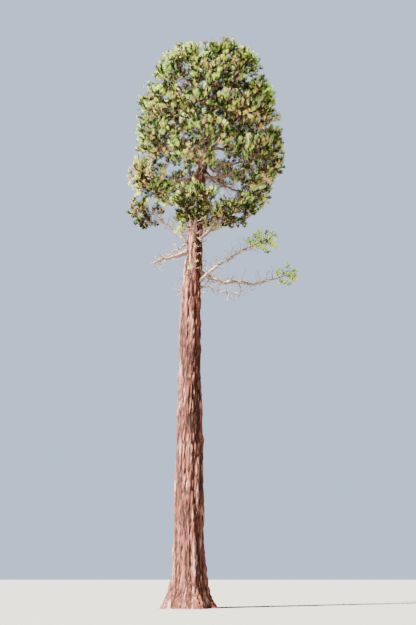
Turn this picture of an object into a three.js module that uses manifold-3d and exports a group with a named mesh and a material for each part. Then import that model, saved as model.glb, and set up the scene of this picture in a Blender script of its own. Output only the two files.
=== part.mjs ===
// A giant sequoia about a century and a half old, rooted in level ground, as a whole tree.
// A tall bare trunk with a flared foot carries a rounded crown of separate foliage masses, each at
// the end of its own bough, over a few long low boughs and broken dead limbs.
// Millimetres, +Z up, origin at the middle of the flat cut at ground level. -Y is the side seen first.
import * as THREE from "three";
import { mergeVertices } from "three/addons/utils/BufferGeometryUtils.js";
import Module from "manifold-3d";

const wasm = await Module();
wasm.setup();

// Driving dimensions of the whole tree
const TREE_HEIGHT = 38000;
const SEAT_GAP = 0.3; // between two pieces that meet

// Trunk: a tapering column with a flared, fluted foot, which leans a little to the right higher up
const TRUNK_TOP = 36000;
const TRUNK_RADIUS = 920;
const TAPER_POWER = 1.6;
const FLARE_RADIUS = 620;
const FLARE_HEIGHT = 850;
const FLUTE_HEIGHT = 2600;
const LEAN_START = 15500;
const LEAN_REACH = 2400;
const LEAN_POWER = 1.85;
const TRUNK_SIDES = 20;
const TRUNK_STEPS = 20;
const TRUNK_STEP_POWER = 1.5; // the rings stand closer together towards the foot
const FLUTES = [
  { ribs: 5, depth: 0.13, turn: 0.4 },
  { ribs: 3, depth: 0.078, turn: 2.1 },
  { ribs: 8, depth: 0.0585, turn: 1.2 },
];

// Crown: masses on an even spiral under a rounded dome
const CROWN_BASE = 20500;
const CROWN_TOP = 36900; // of the dome, which the leader's tip stands out of
const CROWN_RADIUS = 5200;
const CROWN_ASIDE = 1150; // the crown's own middle line, which the leaning trunk crosses
const DOME_POWER = 4;
const DOME_ROUNDING = 2.3;
const DOME_SWELLS = [
  { around: 3, up: 1.1, turn: 0.4, share: 0.045 },
  { around: 5, up: -2.1, turn: 1.9, share: 0.04 },
]; // waves round the dome and, per metre, up it, as shares of its radius
const SPIRAL_MASSES = 25;
const SPIRAL_SEED = 100;
const TRUNK_BORNE_MASSES = 8; // the highest of them sit on short stems straight from the trunk
const SPIRAL_TOP = 35400;
const SPIRAL_BOTTOM = 25900;
const SPIRAL_SPACING_POWER = 0.84;
const SPIRAL_START_ANGLE = 0.6;
const GOLDEN_ANGLE = Math.PI * (3 - Math.sqrt(5));
const MASS_SIZES = { out: 1750, wide: 2500, high: 2050 }; // half the space of a high mass
const LOW_MASS_SHRINK = { out: 0.12, wide: 0.2, high: 0.25 }; // how much smaller the lowest ones are
const LOW_MASS_START = 0.55; // share of the way down the crown where they begin to shrink
const MASS_DEEPEST = 0.52; // half the depth of a mass against the crown's radius, at most

// Boughs: they droop low in the crown, rise high in it, and all turn up towards their tips
const LOW_BOUGH_RISE = -0.12;
const HIGH_BOUGH_RISE = 0.75;
const BOUGH_SAG = 0.16;
const BOUGH_BASE_RADIUS = 135;
const HIGH_BOUGH_SLIMNESS = 0.62;
const BOUGH_TIP_RADIUS = 62;
const BOUGH_TIP_INWARD = 0.72; // a bough ends this far in and this far down in its mass's space
const BOUGH_TIP_DOWN = 0.3;
const LOW_BOUGH_TIP_RADIUS = 50;
const BOUGH_SIDES = 5;
const BOUGH_STEPS = 4;
const LIMB_CLEARANCE = 60;
const BALL_SPACING = 90;

// Foliage: twigs round one stem in each mass, with toothed sprays
const STEM_TIP_RADIUS = 38;
const STEM_END_OUTWARD = 0.5; // where the stem ends in its mass's space
const STEM_END_UP = 0.35;
const TRUNK_STEM_RADIUS = 75; // of a stem straight from the trunk
const TRUNK_STEM_RISE = 200;
const STEM_BEND = 0.45; // how far along it a stem still follows its bough
const TWIGS = 6; // in a mass whose space is at least this high, and fewer in a lower one
const TWIG_FULL_HEIGHT = 1500;
const TWIG_FIRST = 0.3; // where along the stem the twigs begin, and over what share they stand
const TWIG_SPREAD = 0.66;
const TWIG_LEAN = 0.35; // along the stem against out from it
const TWIG_LEAN_VARIES = 0.3;
const TWIG_LIFT = 0.25;
const TWIG_RADIUS = 28;
const TWIG_REACH = 0.52;
const TWIG_LONGEST = 4000;
const TWIG_SHORTEST = 150;
const TWIG_CHECKS = 6;
const SPRAY_PLACES = [
  { share: 0.88, lean: 0 },
  { share: 0.62, lean: 1 },
  { share: 0.36, lean: -1 },
]; // along each twig, and the side to which the spray leans
const TIP_SPRAY_SHARE = 0.97; // where the stem's own spray is rooted
const TIP_SPRAY_LIFT = 0.6;
const SPRAY_REACH = 0.86; // of the height of its mass's space
const SPRAY_WIDTH_SHARE = 0.95;
const SPRAY_THICKNESS = 80;
const SPRAY_THICKEST = 0.42; // share of its length
const SPRAY_CUP = 0.2;
const SPRAY_SHARES = [1, 0.8, 0.6]; // of the full length, tried in turn
const SPRAY_VARIES = [0.85, 0.3]; // the least share of its length, and how much chance adds
const SIDE_SPRAY_WAY = { ahead: 0.45, aside: 0.85 }; // of a spray that leans to one side
const SPRAY_LIFT = [0.4, 0.3]; // how far it turns up, and how much chance adds
const SPRAY_FACE_UP = [0.2, 0.6];
const SPRAY_FACE_TURN = 1.4;
const SPRAY_SEED_STEP = 1000;
const ROOT_VOLUME = 6e4; // a spray that shares more than this with the rest would cross it
const SMALL_SHARE = 0.42; // of the tufts on the trunk against the other masses
const SPACE_MARGIN = 1.05;
const SPACE_REACH = 1.2; // how far past its ellipsoid a mass may fill the space under the dome
const REACH_STEP = 60;

const UP = new THREE.Vector3(0, 0, 1);

// A seeded run of numbers between 0 and 1, the same on every machine.
function seededRandom(seed) {
  let state = seed >>> 0;
  return () => {
    state = (state + 0x6d2b79f5) >>> 0;
    let mixed = Math.imul(state ^ (state >>> 15), state | 1);
    mixed = (mixed + Math.imul(mixed ^ (mixed >>> 7), mixed | 61)) ^ mixed;
    return ((mixed ^ (mixed >>> 14)) >>> 0) / 4294967296;
  };
}

// The middle of the trunk at a height: upright in the lower part, then leaning to +X.
function trunkAxis(height) {
  const share = Math.max(0, (height - LEAN_START) / (TREE_HEIGHT - LEAN_START));
  return new THREE.Vector3(LEAN_REACH * share ** LEAN_POWER, 0, height);
}

function trunkRadius(height) {
  const taper = TRUNK_RADIUS * (1 - (height / TREE_HEIGHT) ** TAPER_POWER);
  return taper + FLARE_RADIUS * Math.exp(-height / FLARE_HEIGHT);
}

// The foot's roots stand out as rounded ribs that die away up the trunk.
function fluting(angle, height) {
  const fade = Math.exp(-height / FLUTE_HEIGHT);
  const swell = FLUTES.map((flute) => flute.depth * Math.cos(flute.ribs * angle + flute.turn));
  return 1 + fade * swell.reduce((sum, part) => sum + part);
}

// A closed body for joining and cutting, from a geometry whose corners are merged first.
function solidFrom(geometry) {
  const bare = geometry.clone();
  bare.deleteAttribute("normal");
  bare.deleteAttribute("uv");
  const merged = mergeVertices(bare, 1e-3);
  return new wasm.Manifold(
    new wasm.Mesh({
      numProp: 3,
      vertProperties: new Float32Array(merged.attributes.position.array),
      triVerts: new Uint32Array(merged.index.array),
    }),
  );
}

// The trunk is a cylinder whose rings are moved onto the trunk's axis and spread to its girth.
function trunkSolid(extra) {
  const geometry = new THREE.CylinderGeometry(1, 1, 1, TRUNK_SIDES, TRUNK_STEPS);
  const place = geometry.attributes.position;
  for (let i = 0; i < place.count; i++) {
    const height = TRUNK_TOP * (place.getY(i) + 0.5) ** TRUNK_STEP_POWER;
    const across = new THREE.Vector2(place.getX(i), place.getZ(i));
    const angle = Math.atan2(-across.y, across.x);
    const radius = across.length() < 0.5 ? 0 : trunkRadius(height) * fluting(angle, height) + extra;
    const centre = trunkAxis(height);
    place.setXYZ(
      i,
      centre.x + radius * Math.cos(angle),
      centre.y + radius * Math.sin(angle),
      centre.z,
    );
  }
  return solidFrom(geometry);
}

const trunkCutter = trunkSolid(SEAT_GAP);

// A frame of three directions that follows a limb: its own way, its side and its upper side.
function frameAlong(curve, share) {
  const along = curve.getTangent(share);
  const side = new THREE.Vector3().crossVectors(along, UP);
  if (side.length() < 0.05) side.crossVectors(along, new THREE.Vector3(0, 1, 0));
  side.normalize();
  const above = new THREE.Vector3().crossVectors(side, along);
  return { along, side, above };
}

// A limb is a cylinder bent along a curve and tapered from baseRadius to tipRadius.
function limbSolid(curve, baseRadius, tipRadius, sides, steps) {
  const geometry = new THREE.CylinderGeometry(tipRadius / baseRadius, 1, 1, sides, steps);
  const place = geometry.attributes.position;
  for (let i = 0; i < place.count; i++) {
    const share = THREE.MathUtils.clamp(place.getY(i) + 0.5, 0, 1);
    const { side, above } = frameAlong(curve, share);
    const point = curve.getPoint(share);
    point.addScaledVector(side, baseRadius * place.getX(i));
    point.addScaledVector(above, baseRadius * place.getZ(i));
    place.setXYZ(i, point.x, point.y, point.z);
  }
  return solidFrom(geometry);
}

// The largest closed body of a solid: loose scraps and sealed hollows go.
function mainBody(solid) {
  return solid.decompose().reduce((best, body) => (body.volume() > best.volume() ? body : best));
}

// The curve from one point to another that is drawn towards a third between them.
function bend(from, through, to) {
  return new THREE.QuadraticBezierCurve3(from, through, to);
}

// The point at a level distance from another in the direction of an azimuth.
function aside(from, azimuth, distance) {
  return new THREE.Vector3(Math.cos(azimuth), Math.sin(azimuth), 0).multiplyScalar(distance).add(from);
}

// The crown's half width at a height, under its dome.
function crownRadius(height) {
  const share = THREE.MathUtils.clamp((height - CROWN_BASE) / (CROWN_TOP - CROWN_BASE), 0, 1);
  return CROWN_RADIUS * (1 - share ** DOME_POWER) ** (1 / DOME_ROUNDING);
}

// Whether a point lies under the dome, whose surface swells and sinks a little.
function underDome(point) {
  if (point.z < CROWN_BASE) return false;
  const azimuth = Math.atan2(point.y, point.x - CROWN_ASIDE);
  const swell = DOME_SWELLS.reduce(
    (sum, wave) =>
      sum + wave.share * Math.sin(wave.around * azimuth + (wave.up * point.z) / 1000 + wave.turn),
    1,
  );
  return Math.hypot(point.x - CROWN_ASIDE, point.y) < swell * crownRadius(point.z);
}

// The curve of a bough from the trunk's axis to its tip: it sags and then turns up.
function boughCurve(rootHeight, tip, sag) {
  const root = trunkAxis(rootHeight);
  const elbow = root.clone().lerp(tip, 0.5);
  elbow.z -= sag * Math.hypot(tip.x - root.x, tip.y - root.y);
  return bend(root, elbow, tip);
}

// A mass has its own space, an ellipsoid that points away from the trunk, and one stem.
function makeMass(name, seed, centre, sizes) {
  const outward = centre.clone().sub(trunkAxis(centre.z)).normalize();
  const sideways = new THREE.Vector3().crossVectors(UP, outward);
  return { name, seed, centre, outward, sideways, sizes };
}

// The stem goes on from its bough's tip, just clear of it, and bends out and up.
function stemFrom(mass, curve) {
  const way = curve.getTangent(1);
  const start = curve.getPoint(1).addScaledVector(way, SEAT_GAP);
  const end = mass.centre.clone();
  end.addScaledVector(mass.outward, STEM_END_OUTWARD * mass.sizes.out);
  end.z += STEM_END_UP * mass.sizes.high;
  return bend(start, start.clone().addScaledVector(way, STEM_BEND * start.distanceTo(end)), end);
}

const boughs = [];
const masses = [];
const deadLimbs = [];

// A bough with its mass at the tip, or a mass on a short stem where the limb has no base radius.
function addBoughAndMass(name, seed, limb, centre, sizes) {
  const mass = makeMass("foliage_" + name, seed, centre, sizes);
  const tip = centre.clone().addScaledVector(mass.outward, -BOUGH_TIP_INWARD * sizes.out);
  tip.z -= BOUGH_TIP_DOWN * sizes.high;
  const curve = boughCurve(limb.rootHeight, tip, limb.sag);
  if (limb.baseRadius) {
    boughs.push({ name: "bough_" + name, curve, base: limb.baseRadius, tip: limb.tipRadius });
    mass.stem = stemFrom(mass, curve);
    mass.stemRadius = limb.tipRadius;
  } else {
    mass.stem = bend(curve.v0, curve.v1, centre.clone().addScaledVector(UP, TRUNK_STEM_RISE));
    mass.stemRadius = TRUNK_STEM_RADIUS;
    mass.onTrunk = true;
  }
  masses.push(mass);
}

// The main crown
for (let i = 0; i < SPIRAL_MASSES; i++) {
  const down = ((i + 0.5) / SPIRAL_MASSES) ** SPIRAL_SPACING_POWER;
  const height = THREE.MathUtils.lerp(SPIRAL_TOP, SPIRAL_BOTTOM, down);
  const azimuth = SPIRAL_START_ANGLE + i * GOLDEN_ANGLE;
  const radius = crownRadius(height);
  const low = THREE.MathUtils.smoothstep(down, LOW_MASS_START, 1);
  const sizes = {
    out: Math.min(MASS_SIZES.out, MASS_DEEPEST * radius) * (1 - LOW_MASS_SHRINK.out * low),
    wide: MASS_SIZES.wide * (1 - LOW_MASS_SHRINK.wide * low),
    high: MASS_SIZES.high * (1 - LOW_MASS_SHRINK.high * low),
  };
  const centre = aside(new THREE.Vector3(CROWN_ASIDE, 0, height), azimuth, radius - sizes.out);
  const rise = THREE.MathUtils.lerp(HIGH_BOUGH_RISE, LOW_BOUGH_RISE, down);
  const own = i >= TRUNK_BORNE_MASSES;
  const limb = {
    rootHeight: height - rise * centre.distanceTo(trunkAxis(height)),
    sag: BOUGH_SAG,
    baseRadius: own ? BOUGH_BASE_RADIUS * THREE.MathUtils.lerp(HIGH_BOUGH_SLIMNESS, 1, down) : 0,
    tipRadius: BOUGH_TIP_RADIUS,
  };
  const name = String(i + 1).padStart(2, "0");
  addBoughAndMass(name, SPIRAL_SEED + i, limb, centre, sizes);
}

// The low boughs that stand apart below the crown, each with a small tuft
const LOW_SEED = 200;
const LOW_BOUGHS = [
  {
    name: "low_long",
    azimuth: 0.12,
    rootHeight: 19950,
    sag: 0.22,
    base: 165,
    distance: 6050,
    height: 19850,
    sizes: { out: 950, wide: 850, high: 800 },
  },
  {
    name: "low_rising",
    azimuth: -0.35,
    rootHeight: 18700,
    sag: -0.14,
    base: 120,
    distance: 4600,
    height: 21200,
    sizes: { out: 950, wide: 850, high: 650 },
  },
  {
    name: "front_left",
    azimuth: -1.57,
    rootHeight: 21500,
    sag: 0.12,
    base: 105,
    distance: 3000,
    height: 23300,
    sizes: { out: 1400, wide: 1350, high: 1100 },
  },
  {
    name: "front_right",
    azimuth: -0.8,
    rootHeight: 21800,
    sag: 0.12,
    base: 105,
    distance: 3200,
    height: 23100,
    sizes: { out: 1300, wide: 1450, high: 1050 },
  },
  {
    name: "low_left",
    azimuth: 3.0,
    rootHeight: 21500,
    sag: 0.04,
    base: 110,
    distance: 3600,
    height: 24200,
    sizes: { out: 1250, wide: 1150, high: 950 },
  },
];
LOW_BOUGHS.forEach((low, i) => {
  const limb = {
    rootHeight: low.rootHeight,
    sag: low.sag,
    baseRadius: low.base,
    tipRadius: LOW_BOUGH_TIP_RADIUS,
  };
  const centre = aside(trunkAxis(low.height), low.azimuth, low.distance);
  addBoughAndMass(low.name, LOW_SEED + i, limb, centre, low.sizes);
});

// Two tufts of young growth straight from the bark of the trunk
const TUFT_SEED = 300;
const TUFT_STEM_RADIUS = 24;
const TUFT_OUT = 0.72; // how far its middle stands off the bark, as a share of its size
const TUFT_ROOT_DOWN = 0.5; // where its stem begins and ends, above and below its middle
const TUFT_END_UP = 0.3;
const TUFT_STEM_BEND = 0.6;
const TRUNK_TUFTS = [
  { name: "trunk_tuft_low", azimuth: -1.35, height: 19700, size: 560 },
  { name: "trunk_tuft_high", azimuth: -2.9, height: 22800, size: 560 },
];
TRUNK_TUFTS.forEach((tuft, i) => {
  const distance = trunkRadius(tuft.height) + TUFT_OUT * tuft.size;
  const sizes = { out: tuft.size, wide: tuft.size, high: tuft.size };
  const centre = aside(trunkAxis(tuft.height), tuft.azimuth, distance);
  const mass = makeMass("foliage_" + tuft.name, TUFT_SEED + i, centre, sizes);
  const root = trunkAxis(tuft.height - TUFT_ROOT_DOWN * tuft.size);
  const end = mass.centre.clone().addScaledVector(UP, TUFT_END_UP * tuft.size);
  mass.stem = bend(root, root.clone().lerp(end, TUFT_STEM_BEND), end);
  mass.stemRadius = TUFT_STEM_RADIUS;
  mass.onTrunk = true;
  mass.small = true;
  masses.push(mass);
});

// The top mass stands on the cut end of the leader and closes the dome
const TOP_SEED = 400;
const topCentre = trunkAxis(TRUNK_TOP).add(new THREE.Vector3(350, 0, 600));
const topMass = makeMass("foliage_top", TOP_SEED, topCentre, { out: 1300, wide: 1300, high: 1400 });
topMass.stem = bend(
  trunkAxis(TRUNK_TOP).add(new THREE.Vector3(0, 0, SEAT_GAP)),
  trunkAxis(TRUNK_TOP).add(new THREE.Vector3(0, 0, 500)),
  trunkAxis(TRUNK_TOP).add(new THREE.Vector3(400, 0, 1300)),
);
topMass.stemRadius = trunkRadius(TRUNK_TOP);
masses.push(topMass);

// Broken and bare limbs
const DEAD_LIMBS = [
  { name: "left_stub", azimuth: 3.3, rootHeight: 21250, reach: 2500, fall: 1000, base: 170, tip: 60 },
  { name: "left_thin", azimuth: 2.85, rootHeight: 22000, reach: 2300, fall: 1200, base: 80, tip: 20 },
  { name: "right_thin", azimuth: -0.12, rootHeight: 18850, reach: 3300, fall: 800, base: 70, tip: 18 },
  { name: "back_stub", azimuth: 1.9, rootHeight: 19500, reach: 2100, fall: 500, base: 120, tip: 40 },
];
const DEAD_SAG = -0.06; // they arch a little
for (const dead of DEAD_LIMBS) {
  const tipHeight = dead.rootHeight - dead.fall;
  const tip = aside(trunkAxis(tipHeight), dead.azimuth, dead.reach);
  const curve = boughCurve(dead.rootHeight, tip, DEAD_SAG);
  deadLimbs.push({ ...dead, name: "dead_limb_" + dead.name, curve });
}

// Open windows through the foliage, which rise the way in which the crown is seen from the ground
const WINDOW_SLOPE = 0.56;
const WINDOWS = [
  { x: 2550, height: 25550, wide: 850, high: 600 },
  { x: 1050, height: 26550, wide: 550, high: 950 },
  { x: 1850, height: 28500, wide: 400, high: 800 },
];
function inWindow(point) {
  const height = point.z - WINDOW_SLOPE * point.y;
  return WINDOWS.some(
    (gap) => Math.hypot((point.x - gap.x) / gap.wide, (height - gap.height) / gap.high) < 1,
  );
}

// How far out in a mass's space a point lies: 1 is the skin of its ellipsoid.
function depthIn(mass, point) {
  const from = point.clone().sub(mass.centre);
  return Math.hypot(
    from.dot(mass.outward) / mass.sizes.out,
    from.dot(mass.sideways) / mass.sizes.wide,
    from.z / mass.sizes.high,
  );
}

function owns(mass, point) {
  const own = depthIn(mass, point);
  if (own > (underDome(point) ? SPACE_REACH : 1) || point.z > TREE_HEIGHT) return false;
  return masses.every((other) => other === mass || own * SPACE_MARGIN < depthIn(other, point));
}

// How far a straight twig can go before it leaves its mass's space.
function reachIn(mass, start, way, most) {
  let reach = 0;
  const point = start.clone();
  while (reach < most && owns(mass, point.addScaledVector(way, REACH_STEP))) reach += REACH_STEP;
  return reach;
}

// Every limb as a chain of balls, so that twigs and sprays can keep clear of it.
function ballsAlong(owner, curve, base, tip) {
  const length = curve.getLength();
  const count = Math.ceil(length / BALL_SPACING);
  return Array.from({ length: count + 1 }, (_, i) => ({
    owner,
    centre: curve.getPoint(i / count),
    radius: THREE.MathUtils.lerp(base, tip, i / count),
  }));
}
const balls = [
  ...boughs.flatMap((limb) => ballsAlong(limb.name, limb.curve, limb.base, limb.tip)),
  ...deadLimbs.flatMap((limb) => ballsAlong(limb.name, limb.curve, limb.base, limb.tip)),
  ...masses.flatMap((mass) => ballsAlong(mass.name, mass.stem, mass.stemRadius, STEM_TIP_RADIUS)),
];

// Whether a point keeps its distance from the trunk and from the limbs of others.
function clearOfLimbs(mass, point) {
  if (point.z < TRUNK_TOP) {
    const axis = trunkAxis(point.z);
    const away = Math.hypot(point.x - axis.x, point.y - axis.y);
    if (away < trunkRadius(point.z) + LIMB_CLEARANCE) return false;
  }
  return balls.every(
    (ball) =>
      ball.owner === mass.name ||
      ball.centre.distanceTo(point) > ball.radius + LIMB_CLEARANCE,
  );
}

function segmentIsFree(mass, start, end) {
  for (let i = 1; i <= TWIG_CHECKS; i++) {
    const point = start.clone().lerp(end, i / TWIG_CHECKS);
    if (!owns(mass, point) || !clearOfLimbs(mass, point)) return false;
  }
  return true;
}

// A dead limb keeps a few of its side twigs, which stand out to both sides and a little up.
const DEAD_TWIGS = [
  { share: 0.55, lean: 1 },
  { share: 0.72, lean: -1 },
  { share: 0.88, lean: 1 },
];
const DEAD_TWIG_SHARE = 0.3; // of the limb's reach and of its radius at the root
const DEAD_TWIG_TIP = 8;
const DEAD_TWIG_WAY = { ahead: 0.7, aside: 0.8, up: 0.35 };
function deadLimbSolid(limb) {
  let whole = limbSolid(limb.curve, limb.base, limb.tip, BOUGH_SIDES, 3);
  for (const { share, lean } of DEAD_TWIGS) {
    const { along, side } = frameAlong(limb.curve, share);
    const root = limb.curve.getPoint(share);
    const way = along.multiplyScalar(DEAD_TWIG_WAY.ahead);
    way.addScaledVector(side, DEAD_TWIG_WAY.aside * lean);
    way.addScaledVector(UP, DEAD_TWIG_WAY.up).normalize();
    const tip = root.clone().addScaledVector(way, DEAD_TWIG_SHARE * limb.reach);
    const line = new THREE.LineCurve3(root, tip);
    whole = whole.add(limbSolid(line, DEAD_TWIG_SHARE * limb.base, DEAD_TWIG_TIP, 3, 1));
  }
  return mainBody(whole.subtract(trunkCutter));
}

for (const limb of boughs) {
  const whole = limbSolid(limb.curve, limb.base, limb.tip, BOUGH_SIDES, BOUGH_STEPS);
  limb.solid = mainBody(whole.subtract(trunkCutter));
}
for (const limb of deadLimbs) limb.solid = deadLimbSolid(limb);
const limbSolids = [...boughs, ...deadLimbs].map((limb) => limb.solid);

// Twigs stand round the stem at the golden angle and turn up; one that has no room is left out.
function twigsOf(mass) {
  const random = seededRandom(mass.seed);
  const count = Math.round(TWIGS * Math.min(1, mass.sizes.high / TWIG_FULL_HEIGHT) ** 0.5);
  const roll = 2 * Math.PI * random();
  const twigs = [];
  for (let k = 0; k < count; k++) {
    const share = TWIG_FIRST + (TWIG_SPREAD * (k + 0.5)) / count;
    const { along, side, above } = frameAlong(mass.stem, share);
    const turn = roll + k * GOLDEN_ANGLE;
    const way = along.multiplyScalar(TWIG_LEAN + TWIG_LEAN_VARIES * random());
    way.addScaledVector(side, Math.cos(turn)).addScaledVector(above, Math.sin(turn));
    way.addScaledVector(UP, TWIG_LIFT).normalize();
    const root = mass.stem.getPoint(share);
    const reach = TWIG_REACH * reachIn(mass, root, way, TWIG_LONGEST);
    const tip = root.clone().addScaledVector(way, reach);
    if (reach > TWIG_SHORTEST && segmentIsFree(mass, root, tip)) twigs.push({ root, tip, way });
  }
  return twigs;
}

// One spray: a thin blade with three teeth, from a ball of six corners and two poles.
const SPRAY_OUTLINE = [
  [1, 0],
  [0.76, 0.24],
  [0.8, 0.5],
  [0, 0],
  [0.72, -0.5],
  [0.71, -0.21],
]; // ahead and beside, as shares of the spray's length and width
function sprayGeometry(root, way, face, length) {
  const geometry = new THREE.SphereGeometry(1, SPRAY_OUTLINE.length, 2);
  const place = geometry.attributes.position;
  const across = new THREE.Vector3().crossVectors(face, way).normalize();
  const above = new THREE.Vector3().crossVectors(way, across);
  const width = length * SPRAY_WIDTH_SHARE;
  for (let i = 0; i < place.count; i++) {
    const point = root.clone();
    if (Math.abs(place.getY(i)) > 0.5) {
      point.addScaledVector(way, SPRAY_THICKEST * length);
      point.addScaledVector(above, Math.sign(place.getY(i)) * 0.5 * SPRAY_THICKNESS);
    } else {
      const turn = Math.atan2(-place.getZ(i), place.getX(i)) / (2 * Math.PI);
      const corner = Math.round(turn * SPRAY_OUTLINE.length) + SPRAY_OUTLINE.length;
      const [ahead, beside] = SPRAY_OUTLINE[corner % SPRAY_OUTLINE.length];
      point.addScaledVector(way, ahead * length);
      point.addScaledVector(across, beside * width);
      point.addScaledVector(above, SPRAY_CUP * length * Math.abs(beside));
    }
    place.setXYZ(i, point.x, point.y, point.z);
  }
  return geometry;
}

// Whether a spray's corners, and the points halfway to them, have the space to themselves.
function sprayIsFree(mass, geometry, root) {
  const place = geometry.attributes.position;
  for (let i = 0; i < place.count; i++) {
    const corner = new THREE.Vector3().fromBufferAttribute(place, i);
    if (corner.distanceTo(root) < SPRAY_THICKNESS) continue;
    for (const share of [1, 0.5]) {
      const point = root.clone().lerp(corner, share);
      if (!owns(mass, point) || !clearOfLimbs(mass, point) || inWindow(point)) return false;
    }
  }
  return true;
}

// The longest spray that stays in the mass's space, clear of limbs and of what is there, is fused on.
function withSpray(mass, whole, root, way, face, random) {
  const wanted = SPRAY_REACH * mass.sizes.high * (SPRAY_VARIES[0] + SPRAY_VARIES[1] * random());
  for (const share of SPRAY_SHARES) {
    const geometry = sprayGeometry(root, way, face, share * wanted);
    if (!sprayIsFree(mass, geometry, root)) continue;
    const spray = solidFrom(geometry);
    if (limbSolids.some((limb) => limb.intersect(spray).volume() > 0)) continue;
    if (whole.intersect(spray).volume() < ROOT_VOLUME) return whole.add(spray);
  }
  return whole;
}

// A mass is its stem and twigs with the sprays fused on: one at the stem's tip, three on each twig.
function massSolid(mass) {
  const thin = mass.small ? SMALL_SHARE : 1;
  const stem = limbSolid(mass.stem, mass.stemRadius, STEM_TIP_RADIUS * thin, 4, 2);
  let whole = mass.onTrunk ? mainBody(stem.subtract(trunkCutter)) : stem;
  const twigs = twigsOf(mass);
  for (const { root, tip } of twigs) {
    whole = whole.add(limbSolid(new THREE.LineCurve3(root, tip), TWIG_RADIUS * thin, 0, 3, 1));
  }
  const random = seededRandom(mass.seed + SPRAY_SEED_STEP);
  const tipWay = mass.stem.getTangent(1).addScaledVector(UP, TIP_SPRAY_LIFT).normalize();
  const tipRoot = mass.stem.getPoint(TIP_SPRAY_SHARE);
  whole = withSpray(mass, whole, tipRoot, tipWay, mass.sideways, random);
  for (const { share, lean } of SPRAY_PLACES) {
    for (const { root, tip, way } of twigs) {
      const side = new THREE.Vector3().crossVectors(way, UP).normalize();
      const sprayWay = way.clone().multiplyScalar(lean ? SIDE_SPRAY_WAY.ahead : 1);
      sprayWay.addScaledVector(side, SIDE_SPRAY_WAY.aside * lean);
      sprayWay.addScaledVector(UP, SPRAY_LIFT[0] + SPRAY_LIFT[1] * random()).normalize();
      const face = mass.outward.clone();
      face.addScaledVector(UP, SPRAY_FACE_UP[0] + SPRAY_FACE_UP[1] * random());
      face.addScaledVector(mass.sideways, SPRAY_FACE_TURN * (random() - 0.5)).normalize();
      whole = withSpray(mass, whole, root.clone().lerp(tip, share), sprayWay, face, random);
    }
  }
  return mainBody(whole);
}

const bark = new THREE.MeshStandardMaterial({ color: 0x8a4a30, roughness: 0.95, metalness: 0 });
const boughBark = new THREE.MeshStandardMaterial({ color: 0x7d5140, roughness: 0.95, metalness: 0 });
const deadWood = new THREE.MeshStandardMaterial({ color: 0x9c8577, roughness: 0.9, metalness: 0 });
const foliage = new THREE.MeshStandardMaterial({ color: 0x73803c, roughness: 0.8, metalness: 0 });

const tree = new THREE.Group();
tree.name = "giant_sequoia";

// Each piece goes into the tree as one mesh under its own name.
function addMesh(name, solid, material) {
  const made = solid.getMesh();
  const geometry = new THREE.BufferGeometry();
  geometry.setAttribute("position", new THREE.BufferAttribute(made.vertProperties, 3));
  geometry.setIndex(new THREE.BufferAttribute(made.triVerts, 1));
  geometry.computeVertexNormals();
  const mesh = new THREE.Mesh(geometry, material);
  mesh.name = name;
  tree.add(mesh);
}

addMesh("trunk", trunkSolid(0), bark);
for (const limb of boughs) addMesh(limb.name, limb.solid, boughBark);
for (const limb of deadLimbs) addMesh(limb.name, limb.solid, deadWood);
for (const mass of masses) addMesh(mass.name, massSolid(mass), foliage);

export default tree;
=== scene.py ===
"""A tall giant sequoia with a bare cinnamon trunk under a rounded crown of upright, brush-like sprays.

Metres, +Z up, origin at the middle of the flat cut at ground level. The trunk, the boughs, the dead
limbs, the twigs and the leafy sprays follow the sizes, rules and seeds of the solids and carry them on
to finer growth within the same spaces.
"""

import math

import bmesh
import bpy
import numpy as np
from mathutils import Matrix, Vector


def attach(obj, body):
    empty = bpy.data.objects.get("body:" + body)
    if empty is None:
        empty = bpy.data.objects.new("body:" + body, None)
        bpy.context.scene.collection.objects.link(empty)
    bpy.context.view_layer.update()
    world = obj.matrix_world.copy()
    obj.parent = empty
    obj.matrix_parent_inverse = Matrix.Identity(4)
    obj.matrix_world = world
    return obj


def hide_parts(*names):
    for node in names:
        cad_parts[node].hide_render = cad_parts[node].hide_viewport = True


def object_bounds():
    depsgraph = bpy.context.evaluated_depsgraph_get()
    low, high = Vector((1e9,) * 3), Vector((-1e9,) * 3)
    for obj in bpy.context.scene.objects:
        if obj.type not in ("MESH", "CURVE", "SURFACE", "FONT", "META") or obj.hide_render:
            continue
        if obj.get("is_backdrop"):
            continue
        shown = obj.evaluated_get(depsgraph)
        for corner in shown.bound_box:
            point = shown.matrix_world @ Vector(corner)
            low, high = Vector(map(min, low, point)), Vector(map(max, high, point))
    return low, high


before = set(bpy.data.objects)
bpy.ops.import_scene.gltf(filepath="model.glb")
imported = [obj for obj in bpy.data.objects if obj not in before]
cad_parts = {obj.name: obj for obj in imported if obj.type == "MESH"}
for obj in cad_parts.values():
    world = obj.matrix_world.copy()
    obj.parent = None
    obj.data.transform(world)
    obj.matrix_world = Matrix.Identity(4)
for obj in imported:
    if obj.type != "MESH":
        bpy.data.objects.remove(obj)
solid_low, solid_high = (np.array(corner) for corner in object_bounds())


# The camera stands on the ground in front of the tree, at eye height and tilted up, as a walker sees it.
# Its distance, tilt and lens give the crown and the trunk the places that they have in the picture.
EYE = (1.09, -44.5, 1.6)
TILT_UP = 19.2
FOCAL_LENGTH = 760
FRAME_HEIGHT = 625
SENSOR_SIZE = 36
FARTHEST_SEEN = 500

bpy.ops.object.select_all(action="DESELECT")
bpy.ops.object.camera_add(location=EYE, rotation=(math.radians(90 + TILT_UP), 0, 0))
camera = bpy.context.object
camera.name = "walker_view"
camera.data.sensor_width = SENSOR_SIZE
camera.data.lens = SENSOR_SIZE * FOCAL_LENGTH / FRAME_HEIGHT
camera.data.clip_end = FARTHEST_SEEN
bpy.context.scene.camera = camera


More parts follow.
